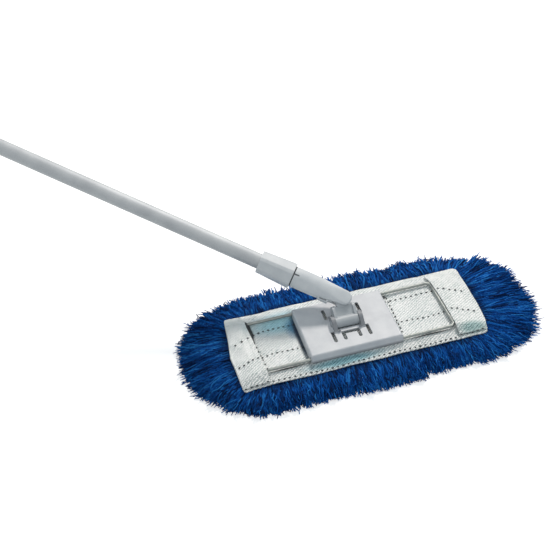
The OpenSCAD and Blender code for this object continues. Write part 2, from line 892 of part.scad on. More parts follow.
module fringe_sweep(stations, side, cut_first, cut_last) {
    n = len(stations);
    k = len(fringe_section);
    points = [for (i = [0 : n - 1])
        each fringe_ring(stations[i], i, side, i == 0 ? cut_first : i == n - 1 ? cut_last : 0)];
    sides = [for (i = [0 : n - 2], j = [0 : k - 1])
        let (a = i * k + j, b = i * k + (j + 1) % k)
        each [[a, b, b + k], [a, b + k, a + k]]];
    caps = [[for (j = [0 : k - 1]) k - 1 - j], [for (j = [0 : k - 1]) (n - 1) * k + j]];
    polyhedron(points, concat(sides, caps), convexity = 6);
}

module fringe_side(dir) {
    start = hinge_x - fold_gap(0) - first_step;
    color(yarn_blue)
        fringe_sweep(
            concat(
                [[-dir * (hinge_x - 1), dir * canvas_wid / 2, dir * 90]],
                edge_run(-dir * start, dir * start, dir * canvas_wid / 2, dir * 90),
                [[dir * (hinge_x - 1), dir * canvas_wid / 2, dir * 90]]
            ),
            1, -dir, dir
        );
}

// The fringe round one end: along the back, round the end and along the front
module fringe_end(side) {
    start = hinge_x + fold_gap(0) + first_step;
    half = canvas_wid / 2;
    end_x = canvas_end(side);
    bend_x = end_x - fringe_root_r;
    bend_y = half - fringe_root_r;
    end_a = side > 0 ? 0 : 180;
    front_a = side > 0 ? -90 : 270;
    color(yarn_blue)
        fringe_sweep(
            concat(
                [[side * (hinge_x + 1), half, 90]],
                edge_run(side * start, side * bend_x, half, 90),
                edge_bend(side * bend_x, bend_y, 90, end_a),
                edge_end(side * end_x, bend_y, -bend_y, end_a),
                edge_bend(side * bend_x, -bend_y, end_a, front_a),
                edge_run(side * bend_x, side * start, -half, front_a),
                [[side * (hinge_x + 1), -half, front_a]]
            ),
            side, side, side
        );
}

handle_tube();
handle_cap();
lock_collar();
handle_socket();
upper_pin();
swivel_block();
centre_plate();
keeper(-1);  // keeper_left
keeper(1);  // keeper_right
keeper_screws();
wire_wing(-1);  // wire_left
wire_wing(1);  // wire_right
canvas_centre();
canvas_left();
canvas_right();
pocket(-1);  // pocket_left
pocket(1);  // pocket_right
sole_centre();
sole_end(-1);  // sole_left
sole_end(1);  // sole_right
fringe_side(-1);  // fringe_front
fringe_side(1);  // fringe_back
fringe_end(-1);  // fringe_left_end
fringe_end(1);  // fringe_right_end
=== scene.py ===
"""Looks of a dust mop: blue yarn round a white canvas, a grey moulded joint and a long tube handle."""
import json
import math

import bpy
import numpy as np
from mathutils import Matrix, Vector


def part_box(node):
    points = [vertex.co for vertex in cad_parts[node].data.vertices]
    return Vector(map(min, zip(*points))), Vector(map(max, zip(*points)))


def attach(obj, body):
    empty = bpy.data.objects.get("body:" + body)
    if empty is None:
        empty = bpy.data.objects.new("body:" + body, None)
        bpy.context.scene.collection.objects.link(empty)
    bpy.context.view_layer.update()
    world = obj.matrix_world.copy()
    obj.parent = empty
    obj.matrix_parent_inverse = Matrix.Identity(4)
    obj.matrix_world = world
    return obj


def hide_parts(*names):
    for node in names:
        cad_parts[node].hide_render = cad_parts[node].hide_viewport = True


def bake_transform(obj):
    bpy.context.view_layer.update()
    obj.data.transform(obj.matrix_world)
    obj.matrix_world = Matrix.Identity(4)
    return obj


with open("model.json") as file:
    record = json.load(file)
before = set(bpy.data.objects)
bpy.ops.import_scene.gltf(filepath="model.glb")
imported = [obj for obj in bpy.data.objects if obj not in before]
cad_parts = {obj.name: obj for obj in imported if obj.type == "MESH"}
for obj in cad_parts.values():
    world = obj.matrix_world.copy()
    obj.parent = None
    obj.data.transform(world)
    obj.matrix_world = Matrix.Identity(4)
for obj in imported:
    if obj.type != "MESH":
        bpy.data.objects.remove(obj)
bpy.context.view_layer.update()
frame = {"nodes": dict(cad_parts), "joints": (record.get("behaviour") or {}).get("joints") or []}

MM = 0.001
nodes = frame["nodes"]
joints = {j["name"]: j for j in frame["joints"]}


# ---------------------------------------------------------------- places taken from the frame, in mm
def box_mm(node):
    low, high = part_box(node)
    return np.array(low) / MM, np.array(high) / MM


CANVAS_LEFT = box_mm("canvas_left")[0][0]
CANVAS_RIGHT = box_mm("canvas_right")[1][0]
CANVAS_HALF = box_mm("canvas_centre")[1][1]
CANVAS_UNDER = box_mm("canvas_centre")[0][2]
HEM_TOP = box_mm("canvas_centre")[1][2]
HEM_T = 0.8
CANVAS_TOP = HEM_TOP - HEM_T
MOUTH_LEFT = box_mm("pocket_left")[1][0]
MOUTH_RIGHT = box_mm("pocket_right")[0][0]
BAR_LEFT = box_mm("wire_left")[0][0]
BAR_RIGHT = box_mm("wire_right")[1][0]
ROD_OUT = box_mm("wire_right")[1][1]
ROD_TOP = box_mm("wire_right")[1][2]
PLATE_LOW, PLATE_HIGH = box_mm("centre_plate")
PLATE_TOP = 37.5
SOCKET_RIM = 81.0
FRINGE_FRONT = box_mm("fringe_front")[0][1]
FRINGE_BACK = box_mm("fringe_back")[1][1]
FRINGE_LEFT = box_mm("fringe_left_end")[0][0]
FRINGE_RIGHT = box_mm("fringe_right_end")[1][0]


# ---------------------------------------------------------------- small tools
def linear(hex_colour):
    """sRGB hex to linear colour with alpha."""
    parts = [int(hex_colour[i:i + 2], 16) / 255 for i in (1, 3, 5)]
    return tuple(c / 12.92 if c <= 0.04045 else ((c + 0.055) / 1.055) ** 2.4 for c in parts) + (1.0,)


def add(tree, kind, inputs=None, **settings):
    """Adds a node with its settings and its inputs, which are values, sockets or nodes."""
    node = tree.nodes.new(kind)
    for name, value in settings.items():
        setattr(node, name, value)
    for key, value in (inputs or {}).items():
        if isinstance(key, int):
            socket = node.inputs[key]
        else:
            socket = next(s for s in node.inputs if s.name == key and s.enabled)
        if isinstance(value, bpy.types.Node):
            value = next(s for s in value.outputs if s.enabled)
        if isinstance(value, bpy.types.NodeSocket):
            tree.links.new(value, socket)
        else:
            socket.default_value = value
    return node


def smooth(a, b, x):
    """Smooth step from 0 at a to 1 at b."""
    t = np.clip((np.asarray(x, float) - a) / (b - a), 0, 1)
    return t * t * (3 - 2 * t)


def link(obj):
    bpy.context.scene.collection.objects.link(obj)
    return obj


def mesh_object(name, points_mm, faces, material=None, uvs=None):
    """A mesh object from points in mm, with one uv for each point."""
    mesh = bpy.data.meshes.new(name)
    mesh.from_pydata((np.asarray(points_mm) * MM).tolist(), [], faces)
    if uvs is not None:
        layer = mesh.uv_layers.new(name="UVMap")
        corners = np.zeros(len(mesh.loops), np.int32)
        mesh.loops.foreach_get("vertex_index", corners)
        layer.data.foreach_set("uv", np.asarray(uvs, np.float32)[corners].ravel())
    if material:
        mesh.materials.append(material)
    mesh.shade_smooth()
    mesh.update()
    return link(bpy.data.objects.new(name, mesh))


def grid_faces(rows, cols, first=0, flip=False):
    """Quads of a grid of points stored row by row."""
    faces = []
    for i in range(rows - 1):
        for j in range(cols - 1):
            a = first + i * cols + j
            quad = (a, a + cols, a + cols + 1, a + 1)
            faces.append(quad[::-1] if flip else quad)
    return faces


def plain(obj, modifiers_off=True):
    """Keeps an object's evaluated mesh and drops its modifiers."""
    depsgraph = bpy.context.evaluated_depsgraph_get()
    mesh = bpy.data.meshes.new_from_object(obj.evaluated_get(depsgraph))
    mesh.name = obj.name
    obj.modifiers.clear()
    obj.data = mesh
    return obj


# ---------------------------------------------------------------- camera, as the photograph was taken
FOCAL_PX = 900.0
FRAME_PX = 550.0
AZIMUTH, ELEVATION, ROLL = math.radians(13.5), math.radians(42.7), math.radians(3.3)
AIM_PX = (346.3, 327.7)
AIM = Vector((0, 0, 0.024))
DISTANCE = 1.4329


def photo_camera():
    ahead = Vector((
        math.sin(AZIMUTH) * math.cos(ELEVATION), math.cos(AZIMUTH) * math.cos(ELEVATION), -math.sin(ELEVATION)
    ))
    level = Vector((math.cos(AZIMUTH), -math.sin(AZIMUTH), 0))
    down = ahead.cross(level)
    right = math.cos(ROLL) * level + math.sin(ROLL) * down
    low = -math.sin(ROLL) * level + math.cos(ROLL) * down
    u, v = ((p - FRAME_PX / 2) / FOCAL_PX for p in AIM_PX)
    place = AIM - DISTANCE * (right * u + low * v + ahead)
    data = bpy.data.cameras.new("photo_camera")
    data.sensor_width = 36
    data.lens = 36 * FOCAL_PX / FRAME_PX
    data.clip_start, data.clip_end = 0.01, 50
    camera = link(bpy.data.objects.new("photo_camera", data))
    turn = Matrix((right, -low, -ahead)).transposed().to_4x4()
    camera.matrix_world = Matrix.Translation(place) @ turn
    bpy.context.scene.camera = camera


# ---------------------------------------------------------------- materials
def material(name, **values):
    """A new material; returns it with its tree and its shader, whose constant sockets take the values."""
    made = bpy.data.materials.new(name)
    made.use_nodes = True
    tree = made.node_tree
    shader = tree.nodes["Principled BSDF"]
    for label, value in values.items():
        shader.inputs[label.replace("_", " ")].default_value = value
    return made, tree, shader


def colours(tree, factor, stops):
    """A colour ramp of (place, hex) stops driven by a factor."""
    ramp = add(tree, "ShaderNodeValToRGB", {"Fac": factor})
    points = ramp.color_ramp.elements
    while len(points) < len(stops):
        points.new(0.5)
    for point, (place, hex_colour) in zip(points, stops):
        point.position, point.color = place, linear(hex_colour)
    return ramp


def softened(tree, radius_mm, height=None, strength=0.3, distance_mm=0.1):
    """A normal with rounded edges, and relief from a height where one is given."""
    rounded = add(tree, "ShaderNodeBevel", {"Radius": radius_mm * MM}, samples=4)
    if height is None:
        return rounded
    return add(tree, "ShaderNodeBump", {
        "Strength": strength, "Distance": distance_mm * MM, "Height": height, "Normal": rounded
    })


def moulded_plastic(name, low, mid, high, grain_mm=0.9, roughness=0.5, wear_and_painted_shade=None):
    """Injection-moulded polypropylene: its spark-eroded mould leaves a fine even grain and soft highlights,
    and the grey wanders a little where the melt cooled unevenly. The grain is drawn coarser than the real
    0.1 mm so that it shows. Painted shade can darken a part where it faces away from the light or sits in a
    gap: its place comes from a function."""
    made, tree, shader = material(name, Roughness=roughness, IOR=1.49)
    place = add(tree, "ShaderNodeTexCoord").outputs["Object"]
    cloudy = add(tree, "ShaderNodeTexNoise", {"Vector": place, "Scale": 1 / (28 * MM), "Detail": 3.0})
    grain = add(tree, "ShaderNodeTexNoise", {"Vector": place, "Scale": 1 / (grain_mm * MM), "Detail": 2.0})
    blend = add(tree, "ShaderNodeMath", {0: cloudy.outputs["Fac"], 1: 0.75}, operation="MULTIPLY")
    both = add(tree, "ShaderNodeMath", {0: grain.outputs["Fac"], 1: 0.25, 2: blend}, operation="MULTIPLY_ADD")
    tone = colours(tree, both, [(0.3, low), (0.5, mid), (0.7, high)]).outputs["Color"]
    if wear_and_painted_shade:
        where, shade = wear_and_painted_shade
        tone = add(tree, "ShaderNodeMix", {
            "Factor": where(tree, place), "A": tone, "B": linear(shade)
        }, data_type="RGBA", blend_type="MULTIPLY").outputs[2]
    tree.links.new(tone, shader.inputs["Base Color"])
    tree.links.new(softened(tree, 0.7, grain.outputs["Fac"], 0.25, 0.08).outputs[0], shader.inputs["Normal"])
    return made


def painted_shade_plate(tree, place):
    """Painted shade: 1 on the ears that stand above the plate and on its front skirt, which are darkened as if turned
    from the light.
    """
    at = add(tree, "ShaderNodeSeparateXYZ", {"Vector": place})
    ears = add(tree, "ShaderNodeMapRange", {
        "Value": at.outputs["Z"], "From Min": (PLATE_TOP + 0.3) * MM, "From Max": (PLATE_TOP + 2.5) * MM
    })
    front = add(tree, "ShaderNodeMapRange", {
        "Value": at.outputs["Y"], "From Min": (PLATE_LOW[1] + 1.6) * MM, "From Max": (PLATE_LOW[1] + 0.4) * MM
    })
    return add(tree, "ShaderNodeMath", {0: ears, 1: front}, operation="MAXIMUM").outputs[0]


def at_collar_gap(tree, place):
    """Painted shade: 1 on the socket's rim, where it meets the collar, darkening it for the shadow in the gap under
    the collar.
    """
    along = add(tree, "ShaderNodeVectorMath", {
        0: add(tree, "ShaderNodeVectorMath", {0: place, 1: tuple(joints["swing"]["pos_m"])}, operation="SUBTRACT"),
        1: tuple(HANDLE_AXIS),
    }, operation="DOT_PRODUCT").outputs["Value"]
    return add(tree, "ShaderNodeMapRange", {
        "Value": along, "From Min": (SOCKET_RIM - 1.3) * MM, "From Max": (SOCKET_RIM - 0.9) * MM
    }).outputs[0]


def anodised_tube():
    """Drawn aluminium tube, satin anodised: fine draw lines run along it and stretch its highlights."""
    made, tree, shader = material("anodised_aluminium_drawn", Metallic=0.35, Anisotropic=0.35)
    origin = Vector(joints["swing"]["pos_m"])
    axis = HANDLE_AXIS
    turn = axis.rotation_difference(Vector((0, 0, 1))).to_euler()
    place = add(tree, "ShaderNodeMapping", {
        "Vector": add(tree, "ShaderNodeTexCoord").outputs["Object"],
        "Rotation": tuple(turn),
        "Scale": (1 / (0.8 * MM), 1 / (0.8 * MM), 1 / (60 * MM)),
    })
    lines = add(tree, "ShaderNodeTexNoise", {"Vector": place, "Scale": 1.0, "Detail": 2.0})
    cloudy = add(tree, "ShaderNodeTexNoise", {
        "Vector": add(tree, "ShaderNodeTexCoord").outputs["Object"], "Scale": 1 / (45 * MM), "Detail": 3.0
    })
    mixed = add(tree, "ShaderNodeMath", {
        0: lines.outputs["Fac"], 1: 0.4,
        2: add(tree, "ShaderNodeMath", {0: cloudy.outputs["Fac"], 1: 0.6}, operation="MULTIPLY"),
    }, operation="MULTIPLY_ADD")
    ramp = colours(tree, mixed, [(0.3, "#9a9fa4"), (0.5, "#abb0b4"), (0.7, "#babfc2")])
    tree.links.new(ramp.outputs["Color"], shader.inputs["Base Color"])
    rough = add(tree, "ShaderNodeMapRange", {"Value": lines.outputs["Fac"], "To Min": 0.5, "To Max": 0.66})
    tree.links.new(rough.outputs[0], shader.inputs["Roughness"])
    bump = add(tree, "ShaderNodeBump", {
        "Strength": 0.15, "Distance": 0.03 * MM, "Height": lines.outputs["Fac"]
    })
    tree.links.new(bump.outputs[0], shader.inputs["Normal"])
    return made


def plated_steel(name, low, high, grain_mm, roughness):
    """Zinc-plated steel wire or sheet: dull silver with a faint mottle of crystals, a little rubbed."""
    made, tree, shader = material(name, Metallic=0.45)
    place = add(tree, "ShaderNodeTexCoord").outputs["Object"]
    crystals = add(tree, "ShaderNodeTexVoronoi", {"Vector": place, "Scale": 1 / (grain_mm * MM)})
    wear_and_painted_shade = add(tree, "ShaderNodeTexNoise", {"Vector": place, "Scale": 1 / (9 * MM), "Detail": 4.0})
    tone = add(tree, "ShaderNodeMix", {
        "Factor": 0.6, "A": crystals.outputs["Color"], "B": wear_and_painted_shade.outputs["Color"]
    }, data_type="RGBA")
    ramp = colours(tree, tone.outputs[2], [(0.25, low), (0.75, high)])
    tree.links.new(ramp.outputs["Color"], shader.inputs["Base Color"])
    rough = add(tree, "ShaderNodeMapRange", {
        "Value": wear_and_painted_shade.outputs["Fac"], "To Min": roughness - 0.08, "To Max": roughness + 0.1
    })
    tree.links.new(rough.outputs[0], shader.inputs["Roughness"])
    tree.links.new(
        softened(tree, 0.3, wear_and_painted_shade.outputs["Fac"], 0.2, 0.05).outputs[0], shader.inputs["Normal"]
    )
    return made


def soft_spot(tree, place, centre, half):
    """1 in the middle of an oval patch of the mop, fading to 0 at its rim; places and sizes in mm."""
    moved = add(tree, "ShaderNodeMapping", {
        "Vector": place, "Location": tuple(-c / h for c, h in zip(centre, half)) + (0,),
        "Scale": (1 / (half[0] * MM), 1 / (half[1] * MM), 0),
    })
    reach = add(tree, "ShaderNodeVectorMath", {0: moved}, operation="LENGTH").outputs["Value"]
    return add(tree, "ShaderNodeMapRange", {
        "Value": reach, "From Min": 1.0, "From Max": 0.25, "To Min": 0.0, "To Max": 1.0
    }, interpolation_type="SMOOTHSTEP").outputs[0]


# Painted shade and painted shadow, as (centre in mm, half size in mm, colour, amount): teal and deep blue ovals for
# the shade left of the plate, under its front skirt and in the right pocket's front folds, and dark ones for the
# shadow along the plate's left edge, where a rod runs under the plate, and in front of the front rods.
PAINTED_SHADE_OVALS = (
    ((-88, 42), (84, 32), "#b2ebfa", 0.85), ((-76, 26), (24, 34), "#3b84b0", 0.85),
    ((-24, -64), (92, 13), "#70b2c2", 0.85), ((190, -62), (36, 15), "#86b3b4", 0.75),
    ((-77, 0), (8, 84), "#0f3048", 0.95), ((79, 46), (9, 7), "#23282a", 0.9),
    ((-112, -53.6), (46, 2.8), "#1c2022", 0.85), ((122, -53.6), (50, 2.8), "#1c2022", 0.85),
)


def twill_canvas(name, low, mid, high):
    """Bleached cotton twill, woven: steep diagonal ribs with a hairy matt surface, coarser along the front
    hem. Ovals of painted shade tint it teal and deep blue near the plate, under its front skirt and in the
    right pocket's front folds, and painted shadow darkens it in lines beside the plate's left edge and the
    front rods and in a spot where a rod runs under the plate. The real ribs are about 1 mm apart and are
    drawn at 3.8 mm so that they show."""
    made, tree, shader = material(name, Roughness=0.9, Sheen_Weight=0.1, Sheen_Roughness=0.5)
    place = add(tree, "ShaderNodeTexCoord").outputs["Object"]
    diagonal = add(tree, "ShaderNodeMapping", {"Vector": place, "Rotation": (0, 0, math.radians(57))})
    ribs = add(tree, "ShaderNodeTexWave", {
        "Vector": diagonal, "Scale": 1 / (3.8 * MM) * 0.05 * 2 * math.pi, "Distortion": 4.2, "Detail": 2.0,
        "Detail Scale": 3.0,
    }, bands_direction="X")
    yarn = add(tree, "ShaderNodeTexNoise", {"Vector": place, "Scale": 1 / (3.6 * MM), "Detail": 3.0})
    worn = add(tree, "ShaderNodeTexNoise", {"Vector": place, "Scale": 1 / (30 * MM), "Detail": 4.0})
    cloth = add(tree, "ShaderNodeMath", {
        0: ribs.outputs["Fac"], 1: 0.5,
        2: add(tree, "ShaderNodeMath", {0: yarn.outputs["Fac"], 1: 0.5}, operation="MULTIPLY"),
    }, operation="MULTIPLY_ADD")
    tone = add(tree, "ShaderNodeMath", {
        0: worn.outputs["Fac"], 1: 0.3,
        2: add(tree, "ShaderNodeMath", {0: cloth, 1: 0.7}, operation="MULTIPLY"),
    }, operation="MULTIPLY_ADD")
    ramp = colours(tree, tone, [(0.3, low), (0.46, mid), (0.62, high)])
    shaded_tone = ramp.outputs["Color"]
    # painted shade: each oval multiplies the cloth's colour
    for centre, half, shade_colour, amount in PAINTED_SHADE_OVALS:
        spot = add(tree, "ShaderNodeMath", {0: soft_spot(tree, place, centre, half), 1: amount}, operation="MULTIPLY")
        shaded_tone = add(tree, "ShaderNodeMix", {
            "Factor": spot, "A": shaded_tone, "B": linear(shade_colour)
        }, data_type="RGBA", blend_type="MULTIPLY").outputs[2]
    tree.links.new(shaded_tone, shader.inputs["Base Color"])
    across = add(tree, "ShaderNodeSeparateXYZ", {"Vector": place}).outputs["Y"]
    coarse = add(tree, "ShaderNodeMapRange", {
        "Value": across, "From Min": -54 * MM, "From Max": -60 * MM, "To Min": 0.42, "To Max": 1.0
    })
    relief = add(tree, "ShaderNodeMath", {0: cloth, 1: coarse}, operation="MULTIPLY")
    bump = add(tree, "ShaderNodeBump", {"Strength": 1.0, "Distance": 2.2 * MM, "Height": relief})
    tree.links.new(bump.outputs[0], shader.inputs["Normal"])
    return made


def spun_yarn(name, stops):
    """Dyed acrylic-cotton yarn, two plies spun together: each strand has its own shade of blue, the plies
    run round it, and its fibres give it a soft sheen. Painted shade darkens each strand near its root, where
    the canvas's edge shades it, and the whole left end of the mop. Strands are drawn a little thicker than
    the real ones."""
    made, tree, shader = material(
        name, Roughness=0.85, Specular_IOR_Level=0.12, Sheen_Weight=0.08, Sheen_Roughness=0.45
    )
    shader.inputs["Sheen Tint"].default_value = linear("#2f7fd8")
    tint = add(tree, "ShaderNodeAttribute", attribute_name="tint").outputs["Fac"]
    along = add(tree, "ShaderNodeAttribute", attribute_name="along_mm").outputs["Fac"]
    around = add(tree, "ShaderNodeAttribute", attribute_name="around").outputs["Fac"]
    turns = add(tree, "ShaderNodeMath", {0: along, 1: 1 / 5.0, 2: around}, operation="MULTIPLY_ADD")
    phase = add(tree, "ShaderNodeMath", {0: turns, 1: 2 * math.pi}, operation="MULTIPLY")
    plies = add(tree, "ShaderNodeMath", {0: phase}, operation="SINE")
    flecks = add(tree, "ShaderNodeTexNoise", {
        "Vector": add(tree, "ShaderNodeTexCoord").outputs["Object"], "Scale": 1 / (5 * MM), "Detail": 2.0
    })
    shade = add(tree, "ShaderNodeMath", {
        0: flecks.outputs["Fac"], 1: 0.25,
        2: add(tree, "ShaderNodeMath", {
            0: plies, 1: 0.05, 2: add(tree, "ShaderNodeMath", {0: tint, 1: 0.75}, operation="MULTIPLY")
        }, operation="MULTIPLY_ADD"),
    }, operation="MULTIPLY_ADD")
    ramp = colours(tree, shade, stops)
    # painted shade: darker near the roots and towards the left end
    root = add(tree, "ShaderNodeMapRange", {
        "Value": along, "From Min": 11.0, "From Max": 26.0, "To Min": 0.35, "To Max": 1.0
    })
    east = add(tree, "ShaderNodeSeparateXYZ", {"Vector": add(tree, "ShaderNodeTexCoord").outputs["Object"]})
    left_end_painted_shade = add(tree, "ShaderNodeMapRange", {
        "Value": east.outputs["X"], "From Min": -240 * MM, "From Max": -90 * MM, "To Min": 0.72, "To Max": 1.0
    })
    painted_shade_scale = add(tree, "ShaderNodeMath", {0: root, 1: left_end_painted_shade}, operation="MULTIPLY")
    toned = add(tree, "ShaderNodeVectorMath", {0: ramp.outputs["Color"], "Scale": painted_shade_scale}, operation="SCALE")
    tree.links.new(toned.outputs["Vector"], shader.inputs["Base Color"])
    bump = add(tree, "ShaderNodeBump", {"Strength": 0.5, "Distance": 0.3 * MM, "Height": plies})
    tree.links.new(bump.outputs[0], shader.inputs["Normal"])
    return made


def matted_yarn():
    """The yarn deep inside the mop, matted and in shade."""
    made, tree, shader = material("matted_yarn", Roughness=0.95, Specular_IOR_Level=0.1)
    place = add(tree, "ShaderNodeTexCoord").outputs["Object"]
    fibres = add(tree, "ShaderNodeTexNoise", {"Vector": place, "Scale": 1 / (3 * MM), "Detail": 4.0})
    ramp = colours(tree, fibres.outputs["Fac"], [(0.35, "#03122f"), (0.65, "#072553")])
    tree.links.new(ramp.outputs["Color"], shader.inputs["Base Color"])
    bump = add(tree, "ShaderNodeBump", {"Strength": 0.8, "Distance": 1.5 * MM, "Height": fibres.outputs["Fac"]})
    tree.links.new(bump.outputs[0], shader.inputs["Normal"])
    return made


def waxed_thread():
    """Navy waxed sewing thread, twisted: a dull dark line with a slight gloss."""
    made, tree, shader = material("waxed_thread_navy", Roughness=0.55)
    place = add(tree, "ShaderNodeTexCoord").outputs["Object"]
    twist = add(tree, "ShaderNodeTexNoise", {"Vector": place, "Scale": 1 / (1.2 * MM), "Detail": 2.0})
    ramp = colours(tree, twist.outputs["Fac"], [(0.35, "#060d12"), (0.65, "#101c24")])
    tree.links.new(ramp.outputs["Color"], shader.inputs["Base Color"])
    return made


HANDLE_AXIS = Vector(joints["collar_turn"]["axis"]).normalized()
if HANDLE_AXIS.z < 0:
    HANDLE_AXIS.negate()

# painted shade: the plate's ears and front skirt are multiplied by #a8aaad
plate_plastic = moulded_plastic(
    "moulded_pp_light_grey", "#bcc0c6", "#c9cdd2", "#d3d6da", wear_and_painted_shade=(painted_shade_plate, "#a8aaad")
)
# painted shade: the socket's rim under the collar is multiplied by near-black #4c5054 for the shadow in their gap
socket_plastic = moulded_plastic(
    "moulded_pp_socket_grey", "#c5cbd0", "#d1d6da", "#dbdfe2", wear_and_painted_shade=(at_collar_gap, "#4c5054")
)
collar_plastic = moulded_plastic("moulded_pp_collar_grey", "#c1c6cb", "#cbd0d4", "#d4d8dc")
block_plastic = moulded_plastic("moulded_nylon_block_grey", "#a5acb1", "#b0b6bb", "#babfc4", roughness=0.42)
cap_plastic = moulded_plastic("moulded_pe_cap_grey", "#7d8187", "#8a8e94", "#979ba0")
tube_metal = anodised_tube()
wire_metal = plated_steel("zinc_plated_wire", "#808684", "#a8aeab", 1.6, 0.45)
strip_metal = plated_steel("zinc_plated_strip", "#8f9498", "#aab0b4", 2.2, 0.4)
canvas_cloth = twill_canvas("cotton_twill_bleached", "#adbabb", "#eef3f1", "#ffffff")
pocket_cloth = twill_canvas("cotton_twill_pocket", "#b4c1c0", "#eff3f0", "#ffffff")
blue_yarn = spun_yarn("acrylic_yarn_blue", [
    (0.12, "#011b43"), (0.4, "#033f86"), (0.65, "#065bb1"), (0.92, "#2c86d6")
])
inner_yarn = matted_yarn()
thread = waxed_thread()

FINISHES = {
    "handle_tube": tube_metal, "handle_cap": cap_plastic, "lock_collar": collar_plastic,
    "handle_socket": socket_plastic, "upper_pin": strip_metal, "swivel_block": block_plastic,
    "centre_plate": plate_plastic, "keeper_left": strip_metal, "keeper_right": strip_metal,
    "keeper_screws": strip_metal, "wire_left": wire_metal, "wire_right": wire_metal,
}
for name, finish in FINISHES.items():
    for place in nodes[name].material_slots:
        place.material = finish


# ---------------------------------------------------------------- the canvas
def ripple(x, y):
    """Slow waves of the cloth, in mm, near nothing under the plate."""
    waves = (
        0.45 * np.sin(x / 21 + 1.3) * np.sin(y / 16 + 0.4) + 0.3 * np.sin(x / 11.5 + y / 19)
        + 0.2 * np.sin(x / 6.3 - y / 8.7 + 2)
    )
    under_plate = (1 - smooth(76, 92, np.abs(x))) * (1 - smooth(56, 64, np.abs(y)))
    return waves * (1 - 0.9 * under_plate)


def droop(x, y):
    """The front hem slopes down from the rod, and the front left corner hangs lower still."""
    hem = 2.6 * smooth(55.5, 64.5, -np.asarray(y, float)) * smooth(0, 12, np.asarray(x, float) - CANVAS_LEFT - 16)
    return hem + 5.0 * np.exp(-(((x - CANVAS_LEFT) / 24) ** 2 + ((y + CANVAS_HALF) / 20) ** 2))


STITCH_ROWS = [
    [(-145, 28.6), (-131.6, 32.1), (-114, 33.4), (-96, 32.7), (-78, 32.4)],
    [(79, 35.2), (100, 34.8), (143, 34.8), (160, 35)],
    [(-144, -20.6), (-125, -17.4), (-107, -18.3), (-78, -18.8)],
    [(79, -14.6), (100, -15.2), (129, -17.3), (147, -16.2), (160, -15.2)],
]
FRONT_HEM_ROW = [(x, -71.4 + 0.8 * math.sin(x / 31)) for x in range(-180, 209, 8)]
BACK_HEM_ROW = [(x, 73.2 + 0.6 * math.sin(x / 27)) for x in range(-178, 209, 8)]
SEAM_X = (80.5, 84.0)


def near_row(x, y, row, width):
    """How near points are to a stitched row: 1 on it, 0 beyond a width."""
    best = np.full(np.shape(x), 1e9)
    for (ax, ay), (bx, by) in zip(row, row[1:]):
        dx, dy = bx - ax, by - ay
        t = np.clip(((x - ax) * dx + (y - ay) * dy) / (dx * dx + dy * dy), 0, 1)
        best = np.minimum(best, np.hypot(x - ax - t * dx, y - ay - t * dy))
    return np.exp(-(best / width) ** 2)


def canvas_height(x, y):
    """Height of the canvas's upper face, in mm."""
    z = CANVAS_TOP - 0.15 + ripple(x, y) - droop(x, y)
    z = z + HEM_T * smooth(CANVAS_HALF - 16.6, CANVAS_HALF - 15.4, np.abs(y))
    for row in STITCH_ROWS + [FRONT_HEM_ROW, BACK_HEM_ROW]:
        z = z - 0.35 * near_row(x, y, row, 1.6)
    edge = np.maximum(np.abs(y) - (CANVAS_HALF - 2), 0)
    return z - 0.25 * edge


LEFT_EDGE = [(-1.0, 0.0), (-0.8, 1.2), (-0.45, 2.6), (-0.11, 4.2), (0.1, 2.2), (0.5, -1.4), (1.0, -4.4)]
RIGHT_EDGE = [(-1.0, -4.5), (-0.9, -3.0), (-0.7, 0.4), (-0.2, 3.6), (0.38, 4.6), (0.9, 4.2), (1.0, 3.6)]
CORNER_R = {-1: 5.0, 1: 8.0}


def canvas_point(side, share_x, share_y):
    """Point of the canvas's outline grid: share_x from the middle to the end, share_y from front to back."""
    table = np.array(LEFT_EDGE if side < 0 else RIGHT_EDGE)
    end = (-CANVAS_LEFT if side < 0 else CANVAS_RIGHT) + np.interp(share_y, table[:, 0], table[:, 1])
    x = end * share_x
    corner = CORNER_R[side]
    past = np.clip(x - (end - corner), 0, corner)
    half = CANVAS_HALF - corner + np.sqrt(np.maximum(corner ** 2 - past ** 2, 0))
    half = half + 0.5 * np.sin(side * x / 17) * smooth(0, 20, x)
    return side * x, half * share_y


def canvas_half(name, side):
    cols, rows = 105, 77
    sx, sy = np.meshgrid(np.linspace(0, 1, cols), np.linspace(-1, 1, rows))
    x, y = canvas_point(side, sx, sy)
    points = np.stack([x, y, canvas_height(x, y)], -1).reshape(-1, 3)
    obj = mesh_object(name, points, grid_faces(rows, cols, flip=side > 0), canvas_cloth)
    solid = obj.modifiers.new("cloth", "SOLIDIFY")
    solid.thickness, solid.offset = 1.7 * MM, -1
    return plain(obj)


canvas_l, canvas_r = canvas_half("canvas_cloth_left", -1), canvas_half("canvas_cloth_right", 1)


# ---------------------------------------------------------------- the pockets
ROOF = ROD_TOP + 0.25


